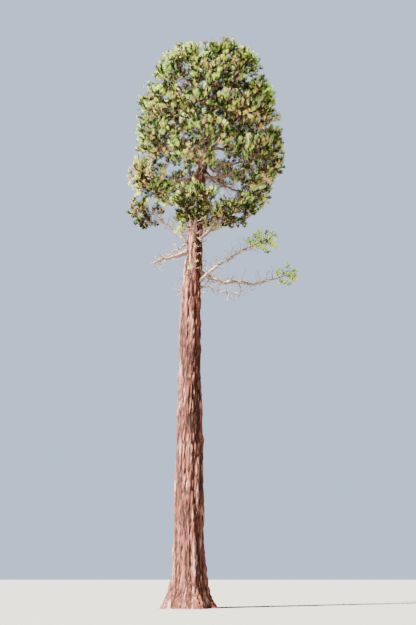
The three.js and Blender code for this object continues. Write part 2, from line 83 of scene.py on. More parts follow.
# The trunk is one tapering stem with a flared, fluted foot, and it leans to the right higher up. Its bark
# is thick, soft and fibrous: a cylinder's rings are set along the trunk's axis, then swells, long ribs,
# ridges with furrows between them, and fibres are pressed in as stretched cell and cloud patterns.
FULL_TURN = 2 * math.pi
TREE_HEIGHT = 38.0
TRUNK_TOP = 36.0
TRUNK_RADIUS = 0.92
TAPER_POWER = 1.6
FLARE_RADIUS = 0.62
FLARE_HEIGHT = 0.85
FLUTE_HEIGHT = 2.6
FLUTES = ((5, 0.13, 0.4), (3, 0.078, 2.1), (8, 0.0585, 1.2))
LEAN_START = 15.5
LEAN_REACH = 2.4
LEAN_POWER = 1.85
TRUNK_SIDES = 216
TRUNK_CUTS = (99, 3)
TRUNK_RING_POWER = 1.15
CELL_CONTRAST = 2.6
CLOUD_DETAIL = 3
SWELLS = dict(cell=(0.8, 0.8, 2.4), depth=0.09)
RIBS = dict(cell=(0.42, 0.42, 5.0), depth=0.1, middle=0.8)
RIDGES = dict(cell=(0.17, 0.17, 0.9), depth=0.075, lean=4)
FIBRES = dict(cell=(0.055, 0.055, 0.7), depth=0.03)
KNOTS = 60
KNOT_HEIGHTS = (12.5, 20.5, 26.0)
KNOT_SIZES = (0.1, 0.24)
KNOT_RISE = 0.42
KNOT_TALLER = 1.3
KNOT_HOLLOW = 1.1
KNOT_HOLLOW_SIZE = 0.45
KNOT_PAINTED_SHADE = 0.1
KNOT_SEED = 40
RIDGE_SHOWN = (-0.112, -0.005)
NEARLY = 1e-4


def trunk_axis(height):
    """The middle of the trunk at a height: upright in the lower part, then leaning to +X."""
    height = np.asarray(height, dtype=float)
    share = np.maximum(0, (height - LEAN_START) / (TREE_HEIGHT - LEAN_START))
    return np.stack([LEAN_REACH * share**LEAN_POWER, 0 * height, height], axis=-1)


def trunk_radius(height):
    """The trunk's radius at a height, without its ribs."""
    taper = TRUNK_RADIUS * (1 - (np.asarray(height) / TREE_HEIGHT) ** TAPER_POWER)
    return taper + FLARE_RADIUS * np.exp(-np.asarray(height) / FLARE_HEIGHT)


def fluting(angle, height):
    """How far the foot's ribs stand out, against 1 for a round trunk."""
    fade = np.exp(-height / FLUTE_HEIGHT)
    return 1 + fade * sum(depth * np.cos(ribs * angle + turn) for ribs, depth, turn in FLUTES)


def level_way(angle):
    """The level direction of an azimuth, or of many."""
    return np.stack([np.cos(angle), np.sin(angle), 0 * angle], axis=-1)


def select_only(*pieces):
    """Selects these pieces alone, with the first of them active."""
    bpy.ops.object.select_all(action="DESELECT")
    for piece in reversed(pieces):
        piece.select_set(True)
        bpy.context.view_layer.objects.active = piece


def cylinder_with_rings(name, sides, cuts):
    """A unit cylinder whose upright edges are cut, and each part cut again, into many rings."""
    select_only()
    bpy.ops.mesh.primitive_cylinder_add(vertices=sides, radius=1, depth=1, end_fill_type="NGON")
    piece = bpy.context.object
    piece.name = name
    bpy.ops.object.mode_set(mode="EDIT")
    bpy.ops.mesh.select_mode(type="EDGE")
    for number in cuts:
        bpy.ops.mesh.select_all(action="DESELECT")
        mesh = bmesh.from_edit_mesh(piece.data)
        for edge in mesh.edges:
            one, other = edge.verts
            edge.select = (one.co.xy - other.co.xy).length < NEARLY
        bmesh.update_edit_mesh(piece.data)
        bpy.ops.mesh.subdivide(number_cuts=number)
    bpy.ops.object.mode_set(mode="OBJECT")
    return piece


def corners(piece):
    """The places of a piece's corners, as rows of x, y and z."""
    places = np.empty(3 * len(piece.data.vertices))
    piece.data.vertices.foreach_get("co", places)
    return places.reshape(-1, 3)


def move_corners(piece, places):
    """Moves a piece's corners to new places."""
    piece.data.vertices.foreach_set("co", places.ravel())
    piece.data.update()


def press_pattern(piece, pattern, cell, depth, middle=0.5, lean=0):
    """Presses a pattern into a piece along its normals, with its cells stretched and leaning."""
    select_only()
    bpy.ops.object.empty_add(rotation=(0, math.radians(lean), 0))
    stretch = bpy.context.object
    stretch.scale = cell
    bpy.context.view_layer.update()
    select_only(piece)
    relief = piece.modifiers.new("relief", "DISPLACE")
    relief.texture = pattern
    relief.texture_coords = "OBJECT"
    relief.texture_coords_object = stretch
    relief.strength = depth
    relief.mid_level = middle
    bpy.ops.object.modifier_apply(modifier="relief")
    bpy.data.objects.remove(stretch)


# The cells are highest in their middles and fall to a furrow where they meet.
ridge_cells = bpy.data.textures.new("ridge_cells", "VORONOI")
ridge_cells.noise_scale = 1
ridge_cells.weight_1 = -1
ridge_cells.weight_2 = 1
ridge_cells.noise_intensity = CELL_CONTRAST
soft_clouds = bpy.data.textures.new("soft_clouds", "CLOUDS")
soft_clouds.noise_scale = 1
soft_clouds.noise_depth = CLOUD_DETAIL

trunk = cylinder_with_rings("trunk_with_bark", TRUNK_SIDES, TRUNK_CUTS)
flat = corners(trunk)
height = TRUNK_TOP * (flat[:, 2] + 0.5).clip(0, 1) ** TRUNK_RING_POWER
angle = np.arctan2(flat[:, 1], flat[:, 0])
smooth_radius = trunk_radius(height) * fluting(angle, height)
around = level_way(angle)
move_corners(trunk, trunk_axis(height) + smooth_radius[:, None] * around)
press_pattern(trunk, soft_clouds, **SWELLS)
swelled = corners(trunk)
press_pattern(trunk, ridge_cells, **RIBS)
press_pattern(trunk, ridge_cells, **RIDGES)
press_pattern(trunk, soft_clouds, **FIBRES)

# Knots where old limbs have gone: a swelling with a hollow in it, close together below the crown.
random = np.random.default_rng(KNOT_SEED)
pressed = corners(trunk)
standing = ((pressed - swelled) * around).sum(axis=1)
for _ in range(KNOTS):
    size = random.uniform(*KNOT_SIZES)
    level = random.triangular(*KNOT_HEIGHTS)
    turned = (angle - random.uniform(0, FULL_TURN) + math.pi) % FULL_TURN - math.pi
    away = np.hypot(turned * smooth_radius, (height - level) / KNOT_TALLER) / size
    swelling = np.exp(-(away**2)) - KNOT_HOLLOW * np.exp(-((away / KNOT_HOLLOW_SIZE) ** 2))
    pressed += (KNOT_RISE * size * swelling)[:, None] * around
    # The knot's hollow is also darkened in the bark's colours, as painted shade.
    standing += KNOT_PAINTED_SHADE * np.minimum(swelling, 0)

# The ends stay flat, and how far each corner stands out from the swells is kept for the colours: painted
# shade in the furrows and the knots' hollows, and pale weathered bark with painted highlight on ridges.
pressed[:, 2] = pressed[:, 2].clip(0, TRUNK_TOP)
ends = (height <= 0) | (height >= TRUNK_TOP)
pressed[ends, 2] = height[ends]
move_corners(trunk, pressed)
trunk.data.shade_smooth()
ridge = trunk.data.attributes.new("ridge", "FLOAT", "POINT")
shown = (standing - RIDGE_SHOWN[0]) / (RIDGE_SHOWN[1] - RIDGE_SHOWN[0])
ridge.data.foreach_set("value", shown.clip(0, 1))


def set_sockets(tree, node, sockets):
    """Gives a node's sockets their values, or links them to the sockets of other nodes."""
    for name, value in sockets.items():
        if isinstance(value, bpy.types.NodeSocket):
            tree.links.new(value, node.inputs[name])
        else:
            node.inputs[name].default_value = value


def new_node(tree, kind, sockets, **settings):
    """A new node in a node tree, with its sockets and its settings."""
    node = tree.nodes.new(kind)
    for setting, value in settings.items():
        setattr(node, setting, value)
    set_sockets(tree, node, sockets)
    return node


def mixed_colours(tree, share, first, second):
    """The colour between two others, by a share."""
    mix = new_node(tree, "ShaderNodeMix", {0: share, 6: first, 7: second}, data_type="RGBA")
    return mix.outputs[2]


def ranged(tree, value, old, new=(0, 1)):
    """A value spread from an old range to a new one, and kept in it."""
    sockets = {"Value": value, "From Min": old[0], "From Max": old[1], "To Min": new[0], "To Max": new[1]}
    return new_node(tree, "ShaderNodeMapRange", sockets).outputs["Result"]


# Fibres and weathered patches are common to bark and bare wood: a group gives them in three colours,
# with painted shade that darkens the hollows and a pale colour on what stands out, partly weathered wood
# and partly painted highlight, with the roughness and the height of the fibres.
FIBRE_NOISE = {"Detail": 7, "Roughness": 0.62, "Distortion": 0.4}
FIBRE_RANGE = (0.3, 0.7)
FIBRE_RELIEF = (-0.42, 0.42)
FIBRE_ROUGHNESS = (0.98, 0.8)
PATCH_NOISE = {"Scale": 2.6, "Detail": 4}
PATCH_FLATNESS = (1, 1, 3)
PATCH_RANGE = (0.44, 0.62)
PATCH_SHARE = (0.08, 1.0)
MIDDLE_RANGE = (0.05, 0.5)
OUTER_RANGE = (0.4, 0.85)
LUMP_FINENESS = 0.35
LUMP_DETAIL = 3
LUMP_RANGE = (0.32, 0.68)
BUMP_STRENGTH = 0.7
WOOD_GLOSS = 0.2
# Bark colours: near-black painted shade for the hollows, cinnamon, and pale weathered bark that is partly
# painted highlight.
BARK_COLOURS = ((0.014, 0.005, 0.004, 1), (0.125, 0.037, 0.024, 1), (0.38, 0.215, 0.17, 1))

wood_grain = bpy.data.node_groups.new("fibrous_grain", "ShaderNodeTree")
for side, kind, names in (
    ("INPUT", "NodeSocketVector", ("Place",)),
    ("INPUT", "NodeSocketFloat", ("Standing out", "Fineness")),
    ("INPUT", "NodeSocketColor", ("Painted hollow shade colour", "Middle colour", "Weathered and highlight colour")),
    ("OUTPUT", "NodeSocketColor", ("Colour",)),
    ("OUTPUT", "NodeSocketFloat", ("Roughness", "Height")),
):
    for name in names:
        wood_grain.interface.new_socket(name=name, in_out=side, socket_type=kind)
given = new_node(wood_grain, "NodeGroupInput", {}).outputs
noise = {"Vector": given["Place"], "Scale": given["Fineness"], **FIBRE_NOISE}
fibres = new_node(wood_grain, "ShaderNodeTexNoise", noise).outputs[0]
place = new_node(wood_grain, "ShaderNodeMapping", {"Vector": given["Place"], "Scale": PATCH_FLATNESS})
noise = {"Vector": place.outputs["Vector"], **PATCH_NOISE}
patches = new_node(wood_grain, "ShaderNodeTexNoise", noise).outputs[0]
# The fibres' bump height is added to what stands out, so their hollows get painted shade as well.
terms = {0: given["Standing out"], 1: ranged(wood_grain, fibres, FIBRE_RANGE, FIBRE_RELIEF)}
raised = new_node(wood_grain, "ShaderNodeMath", terms, operation="ADD").outputs[0]
middle_share = ranged(wood_grain, raised, MIDDLE_RANGE)
lower = mixed_colours(wood_grain, middle_share, given["Painted hollow shade colour"], given["Middle colour"])
terms = {
    0: ranged(wood_grain, raised, OUTER_RANGE),
    1: ranged(wood_grain, patches, PATCH_RANGE, PATCH_SHARE),
}
outer_share = new_node(wood_grain, "ShaderNodeMath", terms, operation="MULTIPLY").outputs[0]
grain_colour = mixed_colours(wood_grain, outer_share, lower, given["Weathered and highlight colour"])
roughness = ranged(wood_grain, fibres, FIBRE_RANGE, FIBRE_ROUGHNESS)
results = {"Colour": grain_colour, "Roughness": roughness, "Height": fibres}
new_node(wood_grain, "NodeGroupOutput", results)


def new_material(name):
    """A new material with its node tree and its shader."""
    material = bpy.data.materials.new(name)
    material.use_nodes = True
    return material, material.node_tree, material.node_tree.nodes["Principled BSDF"]


def grain_finish(name, colours, fineness, relief, stretch=1, standing_out=None):
    """A wood or bark material: stretch draws its grain out along Z, and relief is the grain's depth."""
    material, tree, shader = new_material(name)
    flat = new_node(tree, "ShaderNodeTexCoord", {}).outputs["Object"]
    mapping = new_node(tree, "ShaderNodeMapping", {"Vector": flat, "Scale": (1, 1, 1 / stretch)})
    place = mapping.outputs["Vector"]
    if standing_out:
        raised = new_node(tree, "ShaderNodeAttribute", {}, attribute_name=standing_out).outputs["Fac"]
    else:
        noise = {"Vector": place, "Scale": LUMP_FINENESS * fineness, "Detail": LUMP_DETAIL}
        raised = ranged(tree, new_node(tree, "ShaderNodeTexNoise", noise).outputs[0], LUMP_RANGE)
    sockets = {"Place": place, "Standing out": raised, "Fineness": fineness}
    sockets.update(zip(("Painted hollow shade colour", "Middle colour", "Weathered and highlight colour"), colours))
    grain = new_node(tree, "ShaderNodeGroup", sockets, node_tree=wood_grain).outputs
    sockets = {"Height": grain["Height"], "Distance": relief, "Strength": BUMP_STRENGTH}
    finish = {
        "Base Color": grain["Colour"],
        "Roughness": grain["Roughness"],
        "Normal": new_node(tree, "ShaderNodeBump", sockets).outputs["Normal"],
        "Specular IOR Level": WOOD_GLOSS,
    }
    set_sockets(tree, shader, finish)
    return material


cinnamon_bark = grain_finish(
    "cinnamon_bark", BARK_COLOURS, fineness=22, relief=0.03, stretch=9, standing_out="ridge"
)
trunk.data.materials.append(cinnamon_bark)
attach(trunk, "root")
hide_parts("trunk")


# Each mass of foliage has its own space, an ellipsoid that points away from the trunk. The main ones
# stand on an even spiral under the crown's dome, and a few smaller ones lie below it, at the top and
# on the bark. Its stem goes on from the tip of a bough, or straight from the trunk where it has none.
UP = np.array([0.0, 0.0, 1.0])
SEAT_GAP = 0.0003
CROWN_BASE = 20.5
CROWN_TOP = 36.9
CROWN_RADIUS = 5.2
CROWN_ASIDE = 1.15
DOME_POWER = 4
DOME_ROUNDING = 2.3
DOME_TIP_GAP = 0.01
DOME_SWELLS = ((3, 1.1, 0.4, 0.045), (5, -2.1, 1.9, 0.04))
SPIRAL_MASSES = 25
SPIRAL_SEED = 100
TRUNK_BORNE_MASSES = 8
SPIRAL_TOP = 35.4
SPIRAL_BOTTOM = 25.9
SPIRAL_SPACING_POWER = 0.84
SPIRAL_START_ANGLE = 0.6
GOLDEN_ANGLE = math.pi * (3 - math.sqrt(5))
MASS_OUT, MASS_WIDE, MASS_HIGH = 1.75, 2.5, 2.05
LOW_MASS_SHRINK = (0.12, 0.2, 0.25)
LOW_MASS_START = 0.55
MASS_DEEPEST = 0.52
LOW_BOUGH_RISE = -0.12
HIGH_BOUGH_RISE = 0.75
BOUGH_SAG = 0.16
BOUGH_BASE_RADIUS = 0.135
HIGH_BOUGH_SLIMNESS = 0.62
BOUGH_TIP_RADIUS = 0.062
LOW_BOUGH_TIP_RADIUS = 0.05
BOUGH_TIP_INWARD = 0.72
BOUGH_TIP_DOWN = 0.3
STEM_TIP_RADIUS = 0.038
STEM_END_OUTWARD = 0.5
STEM_END_UP = 0.35
STEM_BEND = 0.45
TRUNK_STEM_RADIUS = 0.075
TRUNK_STEM_RISE = 0.2
LOW_SEED = 200
LOW_BOUGHS = (
    dict(name="low_long", azimuth=0.12, root=19.95, sag=0.22, base=0.165, distance=6.05, height=19.85,
         sizes=(0.95, 0.85, 0.8)),
    dict(name="low_rising", azimuth=-0.35, root=18.7, sag=-0.14, base=0.12, distance=4.6, height=21.2,
         sizes=(0.95, 0.85, 0.65)),
    dict(name="front_left", azimuth=-1.57, root=21.5, sag=0.12, base=0.105, distance=3.0, height=23.3,
         sizes=(1.4, 1.35, 1.1)),
    dict(name="front_right", azimuth=-0.8, root=21.8, sag=0.12, base=0.105, distance=3.2, height=23.1,
         sizes=(1.3, 1.45, 1.05)),
    dict(name="low_left", azimuth=3.0, root=21.5, sag=0.04, base=0.11, distance=3.6, height=24.2,
         sizes=(1.25, 1.15, 0.95)),
)
TUFT_SEED = 300
TUFT_STEM_RADIUS = 0.024
TUFT_OUT = 0.72
TUFT_ROOT_DOWN = 0.5
TUFT_END_UP = 0.3
TUFT_STEM_BEND = 0.6
TRUNK_TUFTS = (
    dict(name="trunk_tuft_low", azimuth=-1.35, height=19.7, size=0.56),
    dict(name="trunk_tuft_high", azimuth=-2.9, height=22.8, size=0.56),
)
TOP_SEED = 400
TOP_CENTRE = (0.35, 0, 0.6)
TOP_SIZES = (1.3, 1.3, 1.4)
TOP_STEM = ((0, 0, SEAT_GAP), (0, 0, 0.5), (0.4, 0, 1.3))
SMALL_MASS = 1.0
APART_BELOW = 24.5


def unit(vectors):
    """Vectors brought to length 1."""
    return vectors / np.linalg.norm(vectors, axis=-1, keepdims=True)


def crown_radius(level):
    """The crown's half width at a height, under its dome."""
    share = (level - CROWN_BASE) / (CROWN_TOP - CROWN_BASE)
    return CROWN_RADIUS * (1 - np.clip(share, 0, 1) ** DOME_POWER) ** (1 / DOME_ROUNDING)


def bough_curve(root_height, tip, sag):
    """A bough's three bend points: the trunk's axis, an elbow that sags, and its tip."""
    root = trunk_axis(root_height)
    elbow = (root + tip) / 2
    elbow[2] -= sag * math.hypot(*(tip - root)[:2])
    return np.array([root, elbow, tip])


def along_curve(curve, share):
    """Points of a curve with three bend points, at shares of the way."""
    share = np.asarray(share, dtype=float)[..., None]
    return (1 - share) ** 2 * curve[0] + 2 * share * (1 - share) * curve[1] + share**2 * curve[2]


def way_of_curve(curve, share):
    """The directions of a curve at shares of the way."""
    share = np.asarray(share, dtype=float)[..., None]
    return unit((1 - share) * (curve[1] - curve[0]) + share * (curve[2] - curve[1]))


boughs = []
masses = []


def add_mass(name, seed, centre, sizes, **limbs):
    """One mass with its space, its seed and its stem."""
    outward = unit(centre - trunk_axis(centre[2]))
    mass = dict(name="foliage_" + name, seed=seed, centre=centre, sizes=sizes, outward=outward)
    mass["sideways"] = np.cross(UP, outward)
    mass["small"] = sizes[0] < SMALL_MASS
    mass["apart"] = centre[2] < APART_BELOW
    mass.update(limbs)
    masses.append(mass)
    return mass


def add_bough_and_mass(name, seed, root, sag, base, tip_radius, centre, sizes):
    """A bough with its mass at the tip, or a mass on a short stem where base is 0."""
    mass = add_mass(name, seed, centre, sizes)
    tip = centre - BOUGH_TIP_INWARD * sizes[0] * mass["outward"] - BOUGH_TIP_DOWN * sizes[2] * UP
    curve = bough_curve(root, tip, sag)
    if base:
        boughs.append(dict(name="bough_" + name, curve=curve, base=base, tip=tip_radius))
        way = way_of_curve(curve, 1)
        start = tip + SEAT_GAP * way
        end = centre + STEM_END_OUTWARD * sizes[0] * mass["outward"] + STEM_END_UP * sizes[2] * UP
        elbow = start + STEM_BEND * np.linalg.norm(end - start) * way
        mass.update(stem=np.array([start, elbow, end]), stem_radius=tip_radius)
    else:
        stem = np.array([curve[0], curve[1], centre + TRUNK_STEM_RISE * UP])
        mass.update(stem=stem, stem_radius=TRUNK_STEM_RADIUS)


for number in range(SPIRAL_MASSES):
    down = ((number + 0.5) / SPIRAL_MASSES) ** SPIRAL_SPACING_POWER
    level = SPIRAL_TOP + (SPIRAL_BOTTOM - SPIRAL_TOP) * down
    radius = crown_radius(level)
    low = np.clip((down - LOW_MASS_START) / (1 - LOW_MASS_START), 0, 1)
    low = low * low * (3 - 2 * low)
    full = (min(MASS_OUT, MASS_DEEPEST * radius), MASS_WIDE, MASS_HIGH)
    sizes = tuple(size * (1 - shrink * low) for size, shrink in zip(full, LOW_MASS_SHRINK))
    azimuth = SPIRAL_START_ANGLE + number * GOLDEN_ANGLE
    centre = np.array([CROWN_ASIDE, 0, level]) + (radius - sizes[0]) * level_way(azimuth)
    rise = HIGH_BOUGH_RISE + (LOW_BOUGH_RISE - HIGH_BOUGH_RISE) * down
    root = level - rise * np.linalg.norm(centre - trunk_axis(level))
    thick = BOUGH_BASE_RADIUS * (HIGH_BOUGH_SLIMNESS + (1 - HIGH_BOUGH_SLIMNESS) * down)
    base = thick if number >= TRUNK_BORNE_MASSES else 0
    add_bough_and_mass(
        f"{number + 1:02d}", SPIRAL_SEED + number, root, BOUGH_SAG, base, BOUGH_TIP_RADIUS, centre, sizes
    )
for number, low in enumerate(LOW_BOUGHS):
    centre = trunk_axis(low["height"]) + low["distance"] * level_way(low["azimuth"])
    add_bough_and_mass(
        low["name"], LOW_SEED + number, low["root"], low["sag"], low["base"], LOW_BOUGH_TIP_RADIUS,
        centre, low["sizes"],
    )
for number, tuft in enumerate(TRUNK_TUFTS):
    level, size = tuft["height"], tuft["size"]
    out = trunk_radius(level) + TUFT_OUT * size
    centre = trunk_axis(level) + out * level_way(tuft["azimuth"])
    root = trunk_axis(level - TUFT_ROOT_DOWN * size)
    end = centre + TUFT_END_UP * size * UP
    stem = np.array([root, root + TUFT_STEM_BEND * (end - root), end])
    add_mass(
        tuft["name"], TUFT_SEED + number, centre, (size,) * 3, stem=stem, stem_radius=TUFT_STEM_RADIUS
    )
top = trunk_axis(TRUNK_TOP)
top_radius = float(trunk_radius(TRUNK_TOP))
add_mass("top", TOP_SEED, top + TOP_CENTRE, TOP_SIZES, stem=top + TOP_STEM, stem_radius=top_radius)


# The boughs grow out of the trunk with a thick collar, sag and turn up again towards their tips. They are
# crooked, with thin, scaly bark: cylinders whose rings follow each bough's curve, pressed by clouds.
BOUGH_SIDES = 14
BOUGH_RING_SPACING = 0.075
BOUGH_SUNK = 0.12
COLLAR_SWELL = 0.55
COLLAR_LENGTH = 0.3
CURVE_SAMPLES = 400
CROOKED = 0.05
BENDS_IN_A_METRE = (0.45, 1.1, 2.3)
BEND_FADE = 0.8
BOUGH_SEED = 500
BOUGH_LUMPS = (0.16, 0.16, 0.16)
BOUGH_LUMP_DEPTH = 0.05
BOUGH_COLOURS = ((0.03, 0.018, 0.013, 1), (0.15, 0.085, 0.06, 1), (0.34, 0.23, 0.18, 1))
# The low boughs' bark is a paler copy: painted light that stands for the sun on them.
PAINTED_SUNLIT_BOUGH_COLOURS = ((0.05, 0.03, 0.022, 1), (0.27, 0.18, 0.13, 1), (0.52, 0.42, 0.34, 1))
FORWARD = np.array([0.0, 1.0, 0.0])
UPRIGHT_WITHIN = 0.05


def line_length(points):
    """The length of a line through points."""
    return np.linalg.norm(np.diff(points, axis=0), axis=1).sum()


def from_axis(points):
    """How far each point lies from the trunk's axis, on the level."""
    return np.hypot(*(points - trunk_axis(points[:, 2]))[:, :2].T)


def sides_of(ways):
    """The side and the upper side of one way or of many."""
    side = np.cross(ways, UP)
    upright = np.linalg.norm(side, axis=-1, keepdims=True) < UPRIGHT_WITHIN
    side = unit(np.where(upright, np.cross(ways, FORWARD), side))
    return side, np.cross(side, ways)


def crooked_line(curve, seed, stations, amount):
    """Points along a curve that wander a little from it, most in the middle and not at the ends."""
    random = np.random.default_rng(seed)
    share = np.linspace(0, 1, stations)
    points = along_curve(curve, share)
    length = line_length(points)
    for bends in BENDS_IN_A_METRE:
        fade = (BENDS_IN_A_METRE[0] / bends) ** BEND_FADE
        swing = unit(random.normal(size=3)) * amount * length**0.5 * fade
        phase = random.uniform(0, FULL_TURN)
        bow = np.sin(FULL_TURN * bends * length * share + phase) * np.sin(math.pi * share)
        points += bow[:, None] * swing
    return points


def limb_along(name, points, radii, sides):
    """A round limb through points with a radius at each, made from a cylinder with as many rings."""
    limb = cylinder_with_rings(name, sides, (len(points) - 2,))
    flat = corners(limb)
    ring = np.rint((flat[:, 2] + 0.5) * (len(points) - 1)).astype(int)
    side, above = sides_of(unit(np.gradient(points, axis=0)))
    out = flat[:, :1] * side[ring] - flat[:, 1:2] * above[ring]
    move_corners(limb, points[ring] + radii[ring][:, None] * out)
    limb.data.shade_smooth()
    return limb


def shape_bough(bough, name, seed, crooked, sides):
    """One bough from just inside the trunk's bark to its tip, with a swollen collar at its root."""
    curve = bough["curve"]
    share = np.linspace(0, 1, CURVE_SAMPLES)
    line = along_curve(curve, share)
    first = share[np.argmax(from_axis(line) > trunk_radius(line[:, 2]) - BOUGH_SUNK)]
    cut = np.array([along_curve(curve, first), curve[1] + first * (curve[2] - curve[1]), curve[2]])
    length = line_length(along_curve(cut, share))
    stations = int(length / BOUGH_RING_SPACING)
    gone = np.linspace(0, 1, stations)
    radii = bough["base"] + (bough["tip"] - bough["base"]) * (first + (1 - first) * gone)
    bough["line"] = crooked_line(cut, seed, stations, crooked)
    bough["radii"] = radii * (1 + COLLAR_SWELL * np.exp(-gone * length / COLLAR_LENGTH))
    limb = limb_along(name, bough["line"], bough["radii"], sides)
    press_pattern(limb, soft_clouds, BOUGH_LUMPS, BOUGH_LUMP_DEPTH * bough["base"] / BOUGH_BASE_RADIUS)
    return limb


bough_bark = grain_finish("bough_bark", BOUGH_COLOURS, fineness=30, relief=0.015)
# The paler copy for the low boughs is painted light for the sun on them.
painted_sunlit_bark = grain_finish("painted_sunlit_bough_bark", PAINTED_SUNLIT_BOUGH_COLOURS, fineness=30, relief=0.015)
for number, bough in enumerate(boughs):
    limb = shape_bough(bough, bough["name"] + "_bark", BOUGH_SEED + number, CROOKED, BOUGH_SIDES)
    limb.data.materials.append(painted_sunlit_bark if "low" in bough["name"] else bough_bark)
    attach(limb, "root")
    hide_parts(bough["name"])


# The dead limbs round the crown's base are bare grey-brown wood that has lost its bark and ends. Each is a
# crooked limb that grows from the trunk as a bough does, joined with three side limbs to both sides.
DEAD_SAG = -0.06
DEAD_CROOKED = 0.08
DEAD_SIDES = 10
DEAD_SEED = 600
DEAD_LIMBS = (
    dict(name="dead_limb_left_stub", azimuth=3.3, root=21.25, reach=2.5, fall=1.0, base=0.17, tip=0.06),
    dict(name="dead_limb_left_thin", azimuth=2.85, root=22.0, reach=2.3, fall=1.2, base=0.08, tip=0.02),
    dict(name="dead_limb_right_thin", azimuth=-0.12, root=18.85, reach=3.3, fall=0.8, base=0.07, tip=0.018),
    dict(name="dead_limb_back_stub", azimuth=1.9, root=19.5, reach=2.1, fall=0.5, base=0.12, tip=0.04),
)
SIDE_LIMBS = ((0.55, 1), (0.72, -1), (0.88, 1))
SIDE_LIMB_ALONG, SIDE_LIMB_ASIDE, SIDE_LIMB_UP = 0.7, 0.8, 0.35
SIDE_LIMB_REACH = 0.3
SIDE_LIMB_BEND = 0.06
SIDE_LIMB_SLIMNESS = 0.55
SIDE_LIMB_TIP_RADIUS = 0.008
SIDE_LIMB_RINGS = 12
SIDE_LIMB_SIDES = 6
SIDE_LIMB_SEED = 650
SIDE_LIMB_SEED_STEP = 10
DEAD_COLOURS = ((0.055, 0.035, 0.028, 1), (0.26, 0.17, 0.135, 1), (0.46, 0.34, 0.28, 1))

dead_wood = grain_finish("dead_wood", DEAD_COLOURS, fineness=26, relief=0.01)
for number, dead in enumerate(DEAD_LIMBS):
    tip = trunk_axis(dead["root"] - dead["fall"]) + dead["reach"] * level_way(dead["azimuth"])
    dead["curve"] = bough_curve(dead["root"], tip, DEAD_SAG)
    limb = shape_bough(dead, dead["name"] + "_wood", DEAD_SEED + number, DEAD_CROOKED, DEAD_SIDES)
    parts = [limb]
    for place, lean in SIDE_LIMBS:
        way = way_of_curve(dead["curve"], place)
        side = sides_of(way)[0]
        station = int(place * (len(dead["line"]) - 1))
        start = dead["line"][station]
        heading = unit(SIDE_LIMB_ALONG * way + SIDE_LIMB_ASIDE * lean * side + SIDE_LIMB_UP * UP)
        end = start + SIDE_LIMB_REACH * dead["reach"] * heading
        bent = np.array([start, (start + end) / 2 + SIDE_LIMB_BEND * dead["reach"] * way, end])
        seed = SIDE_LIMB_SEED + SIDE_LIMB_SEED_STEP * number + station
        points = crooked_line(bent, seed, SIDE_LIMB_RINGS, CROOKED)
        thick = SIDE_LIMB_SLIMNESS * dead["radii"][station]
        radii = np.linspace(thick, SIDE_LIMB_TIP_RADIUS, SIDE_LIMB_RINGS)
        parts.append(limb_along("side_limb", points, radii, SIDE_LIMB_SIDES))
    select_only(*parts)
    bpy.ops.object.join()
    limb.data.materials.clear()
    limb.data.materials.append(dead_wood)
    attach(limb, "root")
    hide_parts(dead["name"])


# Twigs, thin wood in brown bark, branch from each mass's stem by the rule and the seeds of the solids.
# More twigs fill the gaps, and all carry branchlets at the golden angle, which turn up and reach for the
# skin of the mass's space. One that would leave that space or touch another limb is left out.
TWIGS = 6
TWIG_FULL_HEIGHT = 1.5
TWIG_FIRST = 0.3
TWIG_SPREAD = 0.66
TWIG_LEAN = 0.35
TWIG_LEAN_VARIES = 0.3
TWIG_LIFT = 0.25
TWIG_RADIUS = 0.028
TWIG_TIP_RADIUS = 0.008
TWIG_REACH = 0.52
TWIG_LONGEST = 4.0
TWIG_SHORTEST = 0.15
TWIG_CHECKS = 6
TWIG_BOW = 0.05
TWIG_STATIONS = 7
TWIG_SIDES = 5
LATER_TWIGS = 11
LATER_FIRST = 0.15
LATER_SPREAD = 0.8
LATER_LEAN = (0.1, 0.9)
LATER_LIFT = (-0.1, 0.4)
LATER_REACH = (0.4, 0.75)
SPACE_MARGIN = 1.05
SPACE_REACH = 1.2
REACH_STEP = 0.06
LIMB_CLEARANCE = 0.06
BALL_SPACING = 0.09
BALLS_WITHIN = 0.4
STEM_SAMPLES = 40
STEM_STATIONS = 9
STEM_BARE_STATIONS = 4
STEM_SIDES = 7
STEM_END_SLIMNESS = 0.3
SMALL_SLIMNESS = 0.42
BRANCHLET_LONGEST = 2.2
BRANCHLET_SHORTEST = 0.1
BRANCHLET_SPACING = 0.45
FEWEST_BRANCHLETS = 3
BRANCHLET_FIRST = 0.7
BRANCHLET_LEAN = (0.35, 0.9)
BRANCHLET_LEAN_AT_TIP = 4
BRANCHLET_REACH = (0.3, 0.6)
BRANCHLET_RADIUS = 0.018
BRANCHLET_TIP_RADIUS = 0.004
BRANCHLET_LIFT = 0.3
BRANCHLET_CHECKS = 4
BRANCHLET_BOW = 0.07
BRANCHLET_STATIONS = 4
BRANCHLET_SIDES = 3
RISING_OUT, RISING_UP = 0.6, 0.7
BACKWARD_COST = 0.8
FINER_SEED = 2000
TWIG_COLOURS = ((0.06, 0.035, 0.03, 1), (0.22, 0.145, 0.12, 1), (0.4, 0.31, 0.265, 1))
RANDOM_STEP = 0x6D2B79F5
RANDOM_STATES = 2**32


def seeded_random(seed):
    """A seeded run of numbers between 0 and 1, the same as that of the solids."""
    state = seed

    def following():
        nonlocal state
        state = (state + RANDOM_STEP) % RANDOM_STATES
        mixed = (state ^ (state >> 15)) * (state | 1) % RANDOM_STATES
        mixed ^= (mixed + (mixed ^ (mixed >> 7)) * (mixed | 61)) % RANDOM_STATES
        return (mixed ^ (mixed >> 14)) / RANDOM_STATES

    return following


centres, outwards, sidewards, half_sizes, small_masses, apart_masses = (
    np.array([mass[key] for mass in masses])
    for key in ("centre", "outward", "sideways", "sizes", "small", "apart")
)


